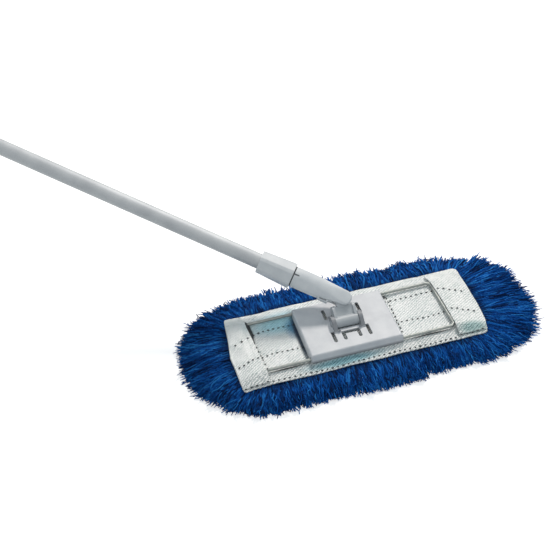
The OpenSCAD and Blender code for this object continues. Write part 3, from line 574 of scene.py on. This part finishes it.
def pocket_height(side, x, y):
    """Height of a pocket's upper face: taut over the rods and the bar, falling to the seams."""
    bar = (-BAR_LEFT if side < 0 else BAR_RIGHT) + 0.5
    end = -CANVAS_LEFT if side < 0 else CANVAS_RIGHT
    out = np.abs(x)
    fall_x = np.clip((out - bar) / (end - bar), 0, 1)
    fall_y = np.clip((np.abs(y) - ROD_OUT) / (CANVAS_HALF - 1.5 - ROD_OUT), 0, 1)
    fall = 1 - (1 - fall_x ** 1.15) * (1 - fall_y ** 0.85)
    base = canvas_height(x, y) + 0.1
    roof = ROOF + 1.3
    sag = 1.1 * np.exp(-((out - bar + 16) / 12) ** 2) * np.cos(np.clip(y / ROD_OUT, -1, 1) * math.pi / 2)
    folds = 0.35 * np.sin(x / 4.1 + y / 9) * np.sin(y / 13 + 1) + 0.3 * np.sin(y / 5.5 + x / 15)
    gather = 0.55 * np.sin((x * side - y * 0.8) / 1.9) * np.exp(-((np.abs(y) - 62) / 8) ** 2)
    gather = gather * np.exp(-((out - (bar - 9)) / 16) ** 2)
    high = roof - 0.4 * sag
    return high + (base + 1.3 - high) * fall + (folds + gather) * (0.25 + fall * (1 - fall) * 3)


MOUTH_LEFT_EDGE = [
    (-75, -144.6), (-53, -145.4), (-30, -147.9), (-6, -148.9), (13, -150.5), (27, -151.8), (40, -153.2),
    (52, -153.4), (64, -158.4), (75, -160.0),
]
MOUTH_RIGHT_EDGE = [(-75, 163.2), (-56, 163.6), (-19, 164.4), (14, 164.6), (43, 163.2), (64, 160.8), (75, 160.0)]


def mouth_x(side, y):
    """Where a pocket's mouth runs."""
    table = np.array(MOUTH_LEFT_EDGE if side < 0 else MOUTH_RIGHT_EDGE)
    return np.interp(y, table[:, 0], table[:, 1])


def pocket(name, side):
    cols, rows = 41, 97
    sx, sy = np.meshgrid(np.linspace(0, 1, cols), np.linspace(-1, 1, rows))
    end_x, y = canvas_point(side, 0.997 + 0 * sx, sy * 0.985)
    mouth = mouth_x(side, y)
    x = mouth + (end_x - mouth) * sx
    z = pocket_height(side, x, y)
    z = z + 0.7 * (1 - smooth(0.16, 0.2, sx))
    if side < 0:
        z = z + 1.6 * (1 - smooth(0, 0.3, sx)) * np.exp(-((y - 60) / 9) ** 2)
    obj = mesh_object(
        name, np.stack([x, y, z], -1).reshape(-1, 3), grid_faces(rows, cols, flip=side > 0), pocket_cloth
    )
    solid = obj.modifiers.new("cloth", "SOLIDIFY")
    solid.thickness, solid.offset = 1.2 * MM, -1
    return plain(obj)


pocket_l, pocket_r = pocket("pocket_cloth_left", -1), pocket("pocket_cloth_right", 1)


# ---------------------------------------------------------------- trees of Geometry Nodes
def node_tree(name, sockets):
    tree = bpy.data.node_groups.new(name, "GeometryNodeTree")
    for label, kind in sockets:
        tree.interface.new_socket(name=label, in_out="INPUT", socket_type="NodeSocket" + kind)
    tree.interface.new_socket(name="Geometry", in_out="OUTPUT", socket_type="NodeSocketGeometry")
    return tree, tree.nodes.new("NodeGroupInput"), tree.nodes.new("NodeGroupOutput")


def grown(name, tree, values, mesh=None):
    """Runs a tree with these values on an object, and keeps the result as a plain mesh."""
    obj = link(bpy.data.objects.new(name, mesh or bpy.data.meshes.new(name)))
    modifier = obj.modifiers.new("grow", "NODES")
    modifier.node_group = tree
    for item in tree.interface.items_tree:
        if item.item_type == "SOCKET" and item.in_out == "INPUT" and item.name in values:
            modifier[item.identifier] = values[item.name]
    return plain(obj)


def strands_tree():
    """Strands of yarn that follow a guide surface outwards and gather into pointed locks."""
    tree, take, give = node_tree("yarn_strands", [
        ("Geometry", "Geometry"), ("Guide", "Object"), ("Count", "Int"), ("Locks", "Float"), ("Pull", "Float"),
        ("Start Low", "Float"), ("Start High", "Float"), ("Span", "Float"), ("Span Vary", "Float"),
        ("Lowest", "Float"), ("Radius", "Float"), ("Stray", "Float"), ("Drift", "Float"), ("Curl", "Float"), ("Points", "Int"),
        ("Seed", "Int"), ("Material", "Material"),
    ])
    i = take.outputs
    line = add(tree, "GeometryNodeCurvePrimitiveLine", {"End": (0, 0, 1)})
    line = add(tree, "GeometryNodeResampleCurve", {"Curve": line, "Count": i["Points"]})
    points = add(tree, "GeometryNodePoints", {"Count": i["Count"]})
    many = add(tree, "GeometryNodeInstanceOnPoints", {"Points": points, "Instance": line})
    many = add(tree, "GeometryNodeRealizeInstances", {"Geometry": many})
    which = add(tree, "GeometryNodeCurveOfPoint").outputs["Curve Index"]

    def do(operation, a, b=0.0, c=0.0, clamp=False):
        return add(tree, "ShaderNodeMath", {0: a, 1: b, 2: c}, operation=operation, use_clamp=clamp).outputs[0]

    def chance(low, high, salt, ident=which):
        seed = do("ADD", i["Seed"], float(salt))
        return add(tree, "FunctionNodeRandomValue", {2: low, 3: high, 7: ident, 8: seed}, data_type="FLOAT").outputs[1]

    t = add(tree, "GeometryNodeSplineParameter").outputs["Factor"]
    u = chance(0.001, 0.999, 1)
    cell = do("FLOOR", do("MULTIPLY", u, i["Locks"]))
    lock = chance(-1.0, 1.0, 2, cell)
    centre = do("DIVIDE", do("ADD", cell, chance(0.3, 0.7, 3, cell)), i["Locks"])
    pull = do("MULTIPLY", do("POWER", t, 1.6), do("MULTIPLY", i["Pull"], chance(0.35, 1.0, 4)))
    tuft = do("FLOOR", do("DIVIDE", cell, 4.0))
    swing = do("MULTIPLY_ADD", chance(-1.0, 1.0, 10, cell), 1.4, do("MULTIPLY", chance(-1.0, 1.0, 12, tuft), 1.6))
    sway = do("ADD", swing, chance(-1.0, 1.0, 5))
    side = do("MULTIPLY", do("MULTIPLY", sway, i["Drift"]), t)
    across = do("ADD", do("MULTIPLY_ADD", do("SUBTRACT", centre, u), pull, u), side)
    across = do("MINIMUM", do("MAXIMUM", across, 0.0008), 0.9992)
    uneven = do("MULTIPLY_ADD", chance(-1.0, 1.0, 13, tuft), 0.8, lock)
    span = do("MULTIPLY", i["Span"], do("MULTIPLY_ADD", uneven, i["Span Vary"], chance(0.9, 1.03, 6)))
    out = do("MULTIPLY_ADD", span, t, chance(i["Start Low"], i["Start High"], 7))
    out = do("MINIMUM", out, 0.999)
    guide = add(tree, "GeometryNodeObjectInfo", {"Object": i["Guide"]})
    uv = add(tree, "GeometryNodeInputNamedAttribute", {"Name": "UVMap"}, data_type="FLOAT_VECTOR")
    found = add(tree, "GeometryNodeSampleUVSurface", {
        "Mesh": guide.outputs["Geometry"], "Value": add(tree, "GeometryNodeInputPosition"),
        "UV Map": uv, "Sample UV": add(tree, "ShaderNodeCombineXYZ", {"X": across, "Y": out}),
    }, data_type="FLOAT_VECTOR")
    at = add(tree, "ShaderNodeSeparateXYZ", {"Vector": found})
    low = do("SUBTRACT", 1.0, i["Lowest"])
    share = do("SUBTRACT", 1.0, do("MULTIPLY", low, do("POWER", chance(0.0, 1.0, 8), 2.2)))
    share = do("MULTIPLY_ADD", do("MULTIPLY", chance(-1.0, 1.0, 11, cell), t), 0.2, share)
    seat = add(tree, "ShaderNodeCombineXYZ", {
        "X": do("MULTIPLY", which, 3.71), "Y": do("MULTIPLY", t, 2.6), "Z": i["Seed"]
    })
    wander = add(tree, "ShaderNodeTexNoise", {"Vector": seat, "Scale": 1.0, "Detail": 1.0})
    shift = add(tree, "ShaderNodeVectorMath", {
        0: add(tree, "ShaderNodeVectorMath", {0: wander.outputs["Color"], 1: (0.5, 0.5, 0.5)}, operation="SUBTRACT"),
        "Scale": do("MULTIPLY", i["Stray"], do("MULTIPLY_ADD", t, 1.0, 0.25)),
    }, operation="SCALE")
    off = add(tree, "ShaderNodeSeparateXYZ", {"Vector": shift})
    curl = do("MULTIPLY", do("MAXIMUM", chance(-1.0, 1.0, 14, cell), 0.0), do("POWER", t, 3.5))
    height = do("MULTIPLY_ADD", at.outputs["Z"], share, off.outputs["Z"])
    height = do("MULTIPLY_ADD", curl, i["Curl"], height)
    height = do("MAXIMUM", height, i["Radius"])
    place = add(tree, "ShaderNodeCombineXYZ", {
        "X": do("ADD", at.outputs["X"], off.outputs["X"]), "Y": do("ADD", at.outputs["Y"], off.outputs["Y"]),
        "Z": height,
    })
    laid = add(tree, "GeometryNodeSetPosition", {"Geometry": many, "Position": place})
    for name, value in (("tint", do("MULTIPLY_ADD", chance(-0.14, 0.14, 15, tuft), 1.0, do("MULTIPLY_ADD", lock, 0.2, chance(0.05, 0.95, 9)))),
                        ("along_mm", do("MULTIPLY", add(tree, "GeometryNodeSplineParameter").outputs["Length"], 1000.0))):
        laid = add(tree, "GeometryNodeStoreNamedAttribute", {
            "Geometry": laid, "Name": name, "Value": value
        }, data_type="FLOAT", domain="POINT")
    thin = do("SUBTRACT", 1.0, do("MULTIPLY", 0.5, do("POWER", t, 6.0)))
    ring = add(tree, "GeometryNodeCurvePrimitiveCircle", {"Resolution": 4, "Radius": i["Radius"]})
    ring = add(tree, "GeometryNodeStoreNamedAttribute", {
        "Geometry": ring, "Name": "around",
        "Value": add(tree, "GeometryNodeSplineParameter").outputs["Factor"],
    }, data_type="FLOAT", domain="POINT")
    sweep = add(tree, "GeometryNodeCurveToMesh", {"Curve": laid, "Profile Curve": ring, "Fill Caps": True})
    tree.links.new(thin, sweep.inputs["Scale"])
    soft = add(tree, "GeometryNodeSetShadeSmooth", {"Geometry": sweep})
    done = add(tree, "GeometryNodeSetMaterial", {
        "Geometry": add(tree, "GeometryNodeRealizeInstances", {"Geometry": soft}), "Material": i["Material"]
    })
    tree.links.new(done.outputs[0], give.inputs[0])
    return tree


def stitches_tree():
    """Dashes of thread along the edges of a mesh."""
    tree, take, give = node_tree("dashed_stitches", [
        ("Geometry", "Geometry"), ("Pitch", "Float"), ("Length", "Float"), ("Width", "Float"), ("Seed", "Int"),
        ("Material", "Material"),
    ])
    i = take.outputs
    path = add(tree, "GeometryNodeMeshToCurve", {"Mesh": i["Geometry"]})
    path = add(tree, "GeometryNodeResampleCurve", {"Curve": path, "Length": i["Pitch"]}, mode="LENGTH")
    dash = add(tree, "GeometryNodeMeshUVSphere", {"Segments": 8, "Rings": 6, "Radius": 0.5})
    dash = add(tree, "GeometryNodeTransform", {
        "Geometry": dash,
        "Scale": add(tree, "ShaderNodeCombineXYZ", {
            "X": i["Length"], "Y": i["Width"],
            "Z": add(tree, "ShaderNodeMath", {0: i["Width"], 1: 0.5}, operation="MULTIPLY"),
        }),
    })
    turn = add(tree, "FunctionNodeAlignRotationToVector", {
        "Vector": add(tree, "GeometryNodeInputTangent")
    }, axis="X")
    size = add(tree, "FunctionNodeRandomValue", {2: 0.8, 3: 1.1, 8: i["Seed"]}, data_type="FLOAT")
    dashes = add(tree, "GeometryNodeInstanceOnPoints", {
        "Points": path, "Instance": dash, "Rotation": turn, "Scale": size.outputs[1]
    })
    soft = add(tree, "GeometryNodeSetShadeSmooth", {
        "Geometry": add(tree, "GeometryNodeRealizeInstances", {"Geometry": dashes})
    })
    done = add(tree, "GeometryNodeSetMaterial", {"Geometry": soft, "Material": i["Material"]})
    tree.links.new(done.outputs[0], give.inputs[0])
    return tree


# ---------------------------------------------------------------- the yarn
OUTLINE_CENTRE = (30.0, 14.0)
OUTLINE_REACH = (
    284, 275, 209, 160, 126, 119, 117, 120, 134, 161, 224, 286, 295, 282, 242, 183, 146, 136, 133, 138, 145, 178,
    241, 281,
)
FAN_R = 42.0
ROOT_IN = 11.0
RIM_SHARE = 0.83


def root_path(side, count):
    """Root points and outward directions along one half of the canvas's outline, from the back round to the front."""
    end = (-CANVAS_LEFT if side < 0 else CANVAS_RIGHT) - ROOT_IN + (3 if side > 0 else 1)
    half = CANVAS_HALF - ROOT_IN
    run, drop, bend = end - FAN_R, 2 * (half - FAN_R), FAN_R * math.pi / 2
    grip = 2.6
    total = 2 * run + drop + 2 * bend * grip
    places = []
    for s in np.linspace(0, total, count):
        if s < run:
            place = (s, half, 90.0)
        elif s < run + bend * grip:
            a = 90 - 90 * (s - run) / (bend * grip)
            place = (run + FAN_R * math.cos(math.radians(a)), half - FAN_R + FAN_R * math.sin(math.radians(a)), a)
        elif s < run + bend * grip + drop:
            place = (end, half - FAN_R - (s - run - bend * grip), 0.0)
        elif s < run + 2 * bend * grip + drop:
            a = -90 * (s - run - bend * grip - drop) / (bend * grip)
            place = (run + FAN_R * math.cos(math.radians(a)), -half + FAN_R + FAN_R * math.sin(math.radians(a)), a)
        else:
            place = (run - (s - run - 2 * bend * grip - drop), -half, -90.0)
        places.append(place)
    places = np.array(places)
    kernel = np.hanning(max(5, count // 14) | 1)
    kernel /= kernel.sum()
    pad = len(kernel) // 2
    wide = np.concatenate([np.full(pad, places[0, 2]), places[:, 2], np.full(pad, places[-1, 2])])
    angle = np.radians(np.convolve(wide, kernel, "valid"))
    return side * places[:, 0], places[:, 1], side * np.cos(angle), np.sin(angle), angle


def outline_radius(angle):
    """Distance from the fringe's middle to its outline, from the reaches at every 15 degrees."""
    count = len(OUTLINE_REACH)
    place = np.asarray(angle) / (2 * math.pi) * count
    low = np.floor(place)
    t = place - low
    a, b, c, d = (np.take(OUTLINE_REACH, (low.astype(int) + k) % count).astype(float) for k in (-1, 0, 1, 2))
    return b + t * (c - a + t * (2 * a - 5 * b + 4 * c - d + t * (3 * (b - c) + d - a))) / 2


def outline_reach(x, y, dx, dy):
    """Distance from a point along a direction to the fringe's outline."""
    low, high = np.zeros_like(x), np.full_like(x, 400.0)
    for _ in range(40):
        mid = (low + high) / 2
        px, py = x + mid * dx - OUTLINE_CENTRE[0], y + mid * dy - OUTLINE_CENTRE[1]
        inside = np.hypot(px, py) < outline_radius(np.arctan2(py, px))
        low, high = np.where(inside, mid, low), np.where(inside, high, mid)
    return low


def fringe_top(q):
    """Height of the fringe's top at a share of its length, from the canvas's edge to the tips."""
    q = np.asarray(q, float)
    tips = 20.8 - 1.0 * q - 15.4 * np.clip(q, 0, 1) ** 2.3
    return np.where(q > 1, np.maximum(4.4 - (q - 1) * 8, 2.0), tips)


def guide(side, name):
    """The fringe's top as a surface, with u along the canvas's edge and v outwards."""
    count, steps = 181, 25
    x, y, dx, dy, _ = root_path(side, count)
    reach = outline_reach(x, y, dx, dy)
    points, uvs = [], []
    for i in range(count):
        for j in range(steps):
            v = j / (steps - 1)
            d = v / RIM_SHARE * reach[i]
            q = (d - ROOT_IN) / max(reach[i] - ROOT_IN, 1)
            px, py = x[i] + d * dx[i], y[i] + d * dy[i]
            z = fringe_top(max(q, 0)) if q > 0 else 20.0 + 0.8 * (1 + q * 3 if q > -0.33 else 0)
            points.append((px, py, z - droop(px, py) * 1.1))
            uvs.append((i / (count - 1), v))
    return mesh_object(name, points, grid_faces(count, steps), uvs=uvs)


def sole_guide(side, name):
    """The mop's underside as a surface, from the middle line out past the canvas."""
    count, steps = 121, 9
    x, y, dx, dy, _ = root_path(side, count)
    reach = outline_reach(x, y, dx, dy)
    points, uvs = [], []
    inner = np.abs(x).max() - 30
    for i in range(count):
        start = (side * min(abs(x[i]), inner), 0.0)
        tip = (x[i] + 0.75 * reach[i] * dx[i], y[i] + 0.75 * reach[i] * dy[i])
        for j in range(steps):
            v = j / (steps - 1)
            points.append((start[0] + (tip[0] - start[0]) * v, start[1] + (tip[1] - start[1]) * v, 4.2))
            uvs.append((i / (count - 1), v))
    return mesh_object(name, points, grid_faces(count, steps), uvs=uvs)


def yarn_core(side, name):
    """The matted yarn under the canvas and inside the fringe, closed all round."""
    count = 121
    x, y, dx, dy, _ = root_path(side, count)
    reach = outline_reach(x, y, dx, dy)
    inner = np.abs(x).max() - 30
    rings = []
    for i in range(count):
        start = np.array((side * min(abs(x[i]), inner), 0.0))
        root = np.array((x[i] + ROOT_IN * dx[i], y[i] + ROOT_IN * dy[i]))
        tip = np.array((x[i] + 0.9 * reach[i] * dx[i], y[i] + 0.9 * reach[i] * dy[i]))
        top = []
        for k in np.linspace(0, 1, 7):
            p = start + (root - start) * k
            top.append((p[0], p[1], CANVAS_UNDER - 2.4 - droop(*p) * 1.1))
        for k in np.linspace(0, 1, 8)[1:]:
            p = root + (tip - root) * k
            top.append((p[0], p[1], max(0.72 * float(fringe_top(k * 0.93)) - droop(*p), 1.6)))
        rings.append(top)
    rings = np.array(rings)
    steps = rings.shape[1]
    low = rings.copy()
    low[:, :, 2] = 1.2
    low[:, -1, :2] = rings[:, -1, :2]
    points = np.concatenate([rings.reshape(-1, 3), low.reshape(-1, 3)])
    base = count * steps
    faces = grid_faces(count, steps, flip=side < 0) + grid_faces(count, steps, base, flip=side > 0)
    for i in range(count - 1):
        a, b = i * steps + steps - 1, (i + 1) * steps + steps - 1
        faces.append((a, b, b + base, a + base))
    for i in (0, count - 1):
        for j in range(steps - 1):
            a = i * steps + j
            faces.append((a, a + 1, a + 1 + base, a + base))
    obj = mesh_object(name, points, faces, inner_yarn)
    import bmesh
    shape = bmesh.new()
    shape.from_mesh(obj.data)
    bmesh.ops.remove_doubles(shape, verts=shape.verts, dist=0.02 * MM)
    bmesh.ops.recalc_face_normals(shape, faces=shape.faces)
    shape.to_mesh(obj.data)
    shape.free()
    return obj


strands = strands_tree()
SEEDS = {-1: 11, 1: 47}
yarn_pieces = {}
for side, label, share in ((-1, "left", 0.46), (1, "right", 0.54)):
    top, sole = guide(side, "guide_" + label), sole_guide(side, "sole_guide_" + label)
    common = {"Guide": top, "Material": blue_yarn, "Radius": 1.15 * MM, "Start Low": 0.0, "Start High": 0.05}
    upper = {
        **common, "Count": int(3300 * share), "Locks": 300.0 * share, "Pull": 0.85, "Span": 0.815,
        "Span Vary": 0.075, "Lowest": 0.55, "Stray": 19 * MM, "Drift": 0.008, "Curl": 11 * MM, "Points": 12,
    }
    yarn_pieces[label] = [
        grown("fringe_yarn_" + label, strands, {**upper, "Seed": SEEDS[side]}),
        grown("fringe_over_yarn_" + label, strands, {**upper, "Seed": SEEDS[side] + 300}),
        grown("fringe_under_yarn_" + label, strands, {
            **common, "Count": int(4200 * share), "Locks": 220.0 * share, "Pull": 0.6, "Span": 0.79,
            "Span Vary": 0.05, "Lowest": 0.05, "Stray": 12 * MM, "Drift": 0.012, "Curl": 0.0, "Points": 8,
            "Seed": SEEDS[side] + 100,
        }),
        grown("sole_yarn_" + label, strands, {
            **common, "Guide": sole, "Count": int(4200 * share), "Locks": 120.0 * share, "Pull": 0.5,
            "Start High": 0.7, "Span": 0.28, "Span Vary": 0.1, "Lowest": 0.3, "Stray": 7 * MM, "Drift": 0.02,
            "Curl": 0.0, "Points": 7, "Seed": SEEDS[side] + 200,
        }),
        yarn_core(side, "matted_yarn_" + label),
    ]
    for scrap in (top, sole):
        bpy.data.objects.remove(scrap)


# ---------------------------------------------------------------- the stitching
def stitch_mesh(name, rows, height):
    """A mesh of loose edges along rows of stitches, laid on a surface."""
    points, edges = [], []
    for row in rows:
        dense = []
        for (ax, ay), (bx, by) in zip(row, row[1:]):
            parts = max(1, round(math.hypot(bx - ax, by - ay) / 4))
            dense += [(ax + (bx - ax) * k / parts, ay + (by - ay) * k / parts) for k in range(parts)]
        dense.append(row[-1])
        for k, (px, py) in enumerate(dense):
            points.append((px, py, float(height(px, py)) + 1.0))
            if k:
                edges.append((len(points) - 2, len(points) - 1))
    mesh = bpy.data.meshes.new(name)
    mesh.from_pydata((np.array(points) * MM).tolist(), edges, [])
    return mesh


def cut_row(row, low, high):
    """The part of a row between two distances along x."""
    kept = [p for p in row if low <= p[0] <= high]
    return kept if len(kept) > 1 else []


stitches = stitches_tree()
DASH = {"Pitch": 8.2 * MM, "Length": 3.9 * MM, "Width": 2.7 * MM, "Seed": 5, "Material": thread}
canvas_rows = {
    "left": STITCH_ROWS[0::2] + [cut_row(FRONT_HEM_ROW, -146, -4)],
    "right": STITCH_ROWS[1::2] + [cut_row(FRONT_HEM_ROW, 4, 160)] + [
        [(SEAM_X[1], 42), (SEAM_X[1] - 1.5, 5), (SEAM_X[0], -36)]
    ],
}
pocket_rows = {
    "left": [
        [(-179, 11.8), (-169.3, 13.3), (-162.5, 15.7), (-157, 17.8)],
        [(-184, -34), (-177.4, -34.3), (-168.9, -31.1), (-160.5, -28.3), (-152.2, -27.4)],
        [(-184, -72.6), (-165, -72.6), (-149, -71.5)],
        [(-149.4, 4), (-148.2, -14), (-146.6, -28), (-145.4, -42), (-144.6, -53)],
    ],
    "right": [
        [(168.5, 30), (176.6, 29), (184.4, 25.2), (192.4, 23.8), (197.8, 20.8), (205, 17)],
        [(171.5, -19), (179.7, -20.7), (184.9, -24.8), (190.7, -26.7), (197.7, -27.8), (205, -31.4)],
        [(166, -71), (185, -71.5), (203, -69)],
    ],
}
def mouth_shadow_and_stitch_row():
    """Dark thread over the left pocket's mouth: packed close and wide at the back, where it stands as painted shadow
    for the gap under the mouth, and narrow towards the front.
    """
    points = []
    y = 73.0
    while y > 6:
        wide = 5.4 * float(smooth(8, 34, y) * (1 - smooth(52, 60, y))) + 1.0
        points += [(mouth_x(-1, y) + 0.2, y, 0.0), (mouth_x(-1, y - 0.7) + wide, y - 0.7, -0.9 * wide)]
        y -= 1.4
    return points


def mouth_shadow_and_stitch_mesh(name):
    """The thread as one path down from the mouth's edge to the canvas and back, packed at the back as painted shadow.
    """
    points = [
        (x, y, max(pocket_height(-1, x, y) + 0.9 + fall, canvas_height(x, y) + 0.6)) for x, y, fall in mouth_shadow_and_stitch_row()
    ]
    mesh = bpy.data.meshes.new(name)
    mesh.from_pydata((np.array(points, float) * MM).tolist(), [(k, k + 1) for k in range(len(points) - 1)], [])
    return mesh


stitch_pieces = {}
for label, side in (("left", -1), ("right", 1)):
    stitch_pieces[label] = [
        grown("canvas_stitches_" + label, stitches, DASH, stitch_mesh(
            "canvas_rows_" + label, [r for r in canvas_rows[label] if r], canvas_height
        )),
        grown("pocket_stitches_" + label, stitches, DASH, stitch_mesh(
            "pocket_rows_" + label, pocket_rows[label], lambda x, y: pocket_height(side, x, y) + 0.3
        )),
    ]
# painted shadow: the packed dark thread forms the near-black wedge in the left mouth's gap
stitch_pieces["left"].append(grown(
    "whip_stitches_left", stitches, {**DASH, "Pitch": 1.5 * MM, "Length": 2.6 * MM, "Width": 1.3 * MM},
    mouth_shadow_and_stitch_mesh("whip_rows_left")
))


# ---------------------------------------------------------------- bodies
def across_fold(obj):
    """Bakes a soft piece's placement into its mesh."""
    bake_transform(obj)


for label, cloth, pouch in (("left", canvas_l, pocket_l), ("right", canvas_r, pocket_r)):
    wing = label + "_wing"
    across_fold(cloth)
    across_fold(stitch_pieces[label][0])
    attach(pouch, wing)
    for piece in stitch_pieces[label][1:]:
        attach(piece, wing)
    for piece in yarn_pieces[label]:
        across_fold(piece)
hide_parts("canvas_left", "canvas_centre")
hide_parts("canvas_right", "canvas_centre")
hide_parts("pocket_left")
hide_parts("pocket_right")
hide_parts("sole_left", "sole_centre")
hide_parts("sole_right", "sole_centre")
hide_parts("fringe_left_end", "fringe_front", "fringe_back")
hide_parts("fringe_right_end", "fringe_front", "fringe_back")


# ---------------------------------------------------------------- floor, light and camera
def seen_white(tree, strength):
    """White for what the camera, a reflection or a refraction sees."""
    rays = add(tree, "ShaderNodeLightPath").outputs
    seen = add(tree, "ShaderNodeMath", {0: rays["Is Camera Ray"], 1: rays["Is Glossy Ray"]}, operation="MAXIMUM")
    return add(tree, "ShaderNodeMath", {0: seen, 1: rays["Is Transmission Ray"]}, operation="MAXIMUM")


def studio():
    made, tree, shader = material("painted_studio_floor", Roughness=0.9)
    shader.inputs["Base Color"].default_value = linear("#e9e9e9")
    seen = seen_white(tree, 1)
    glow = add(tree, "ShaderNodeEmission", {"Color": (1, 1, 1, 1), "Strength": add(
        tree, "ShaderNodeMath", {0: seen, 1: 0.55}, operation="MULTIPLY"
    )})
    both = add(tree, "ShaderNodeAddShader", {0: shader.outputs[0], 1: glow.outputs[0]})
    tree.links.new(both.outputs[0], tree.nodes["Material Output"].inputs["Surface"])
    bpy.ops.mesh.primitive_plane_add(size=16, location=(0, 0, 0))
    floor = bpy.context.object
    floor.name = "studio_floor"
    floor.data.materials.append(made)

    world = bpy.data.worlds.new("studio_world")
    bpy.context.scene.world = world
    world.use_nodes = True
    tree = world.node_tree
    for node in list(tree.nodes):
        tree.nodes.remove(node)
    ambient = add(tree, "ShaderNodeBackground", {"Color": linear("#dcecf4"), "Strength": 0.42})
    white = add(tree, "ShaderNodeBackground", {"Color": (1, 1, 1, 1), "Strength": 1.0})
    mixed = add(tree, "ShaderNodeMixShader", {0: seen_white(tree, 1), 1: ambient, 2: white})
    add(tree, "ShaderNodeOutputWorld", {"Surface": mixed})

    for name, place, size, power in (
        ("key_light", (1.1, 1.8, 2.3), 0.5, 61.0),
        ("front_fill", (-1.1, -1.5, 2.6), 1.8, 19.0),
    ):
        data = bpy.data.lights.new(name, "AREA")
        data.shape, data.size, data.energy = "DISK", size, power
        data.color = linear("#fff6ee")[:3]
        lamp = link(bpy.data.objects.new(name, data))
        place = Vector(place)
        lamp.location = place
        lamp.rotation_euler = (Vector((0, 0, 0.03)) - place).to_track_quat("-Z", "Y").to_euler()


studio()
photo_camera()
bpy.context.scene.view_settings.view_transform = "Standard"
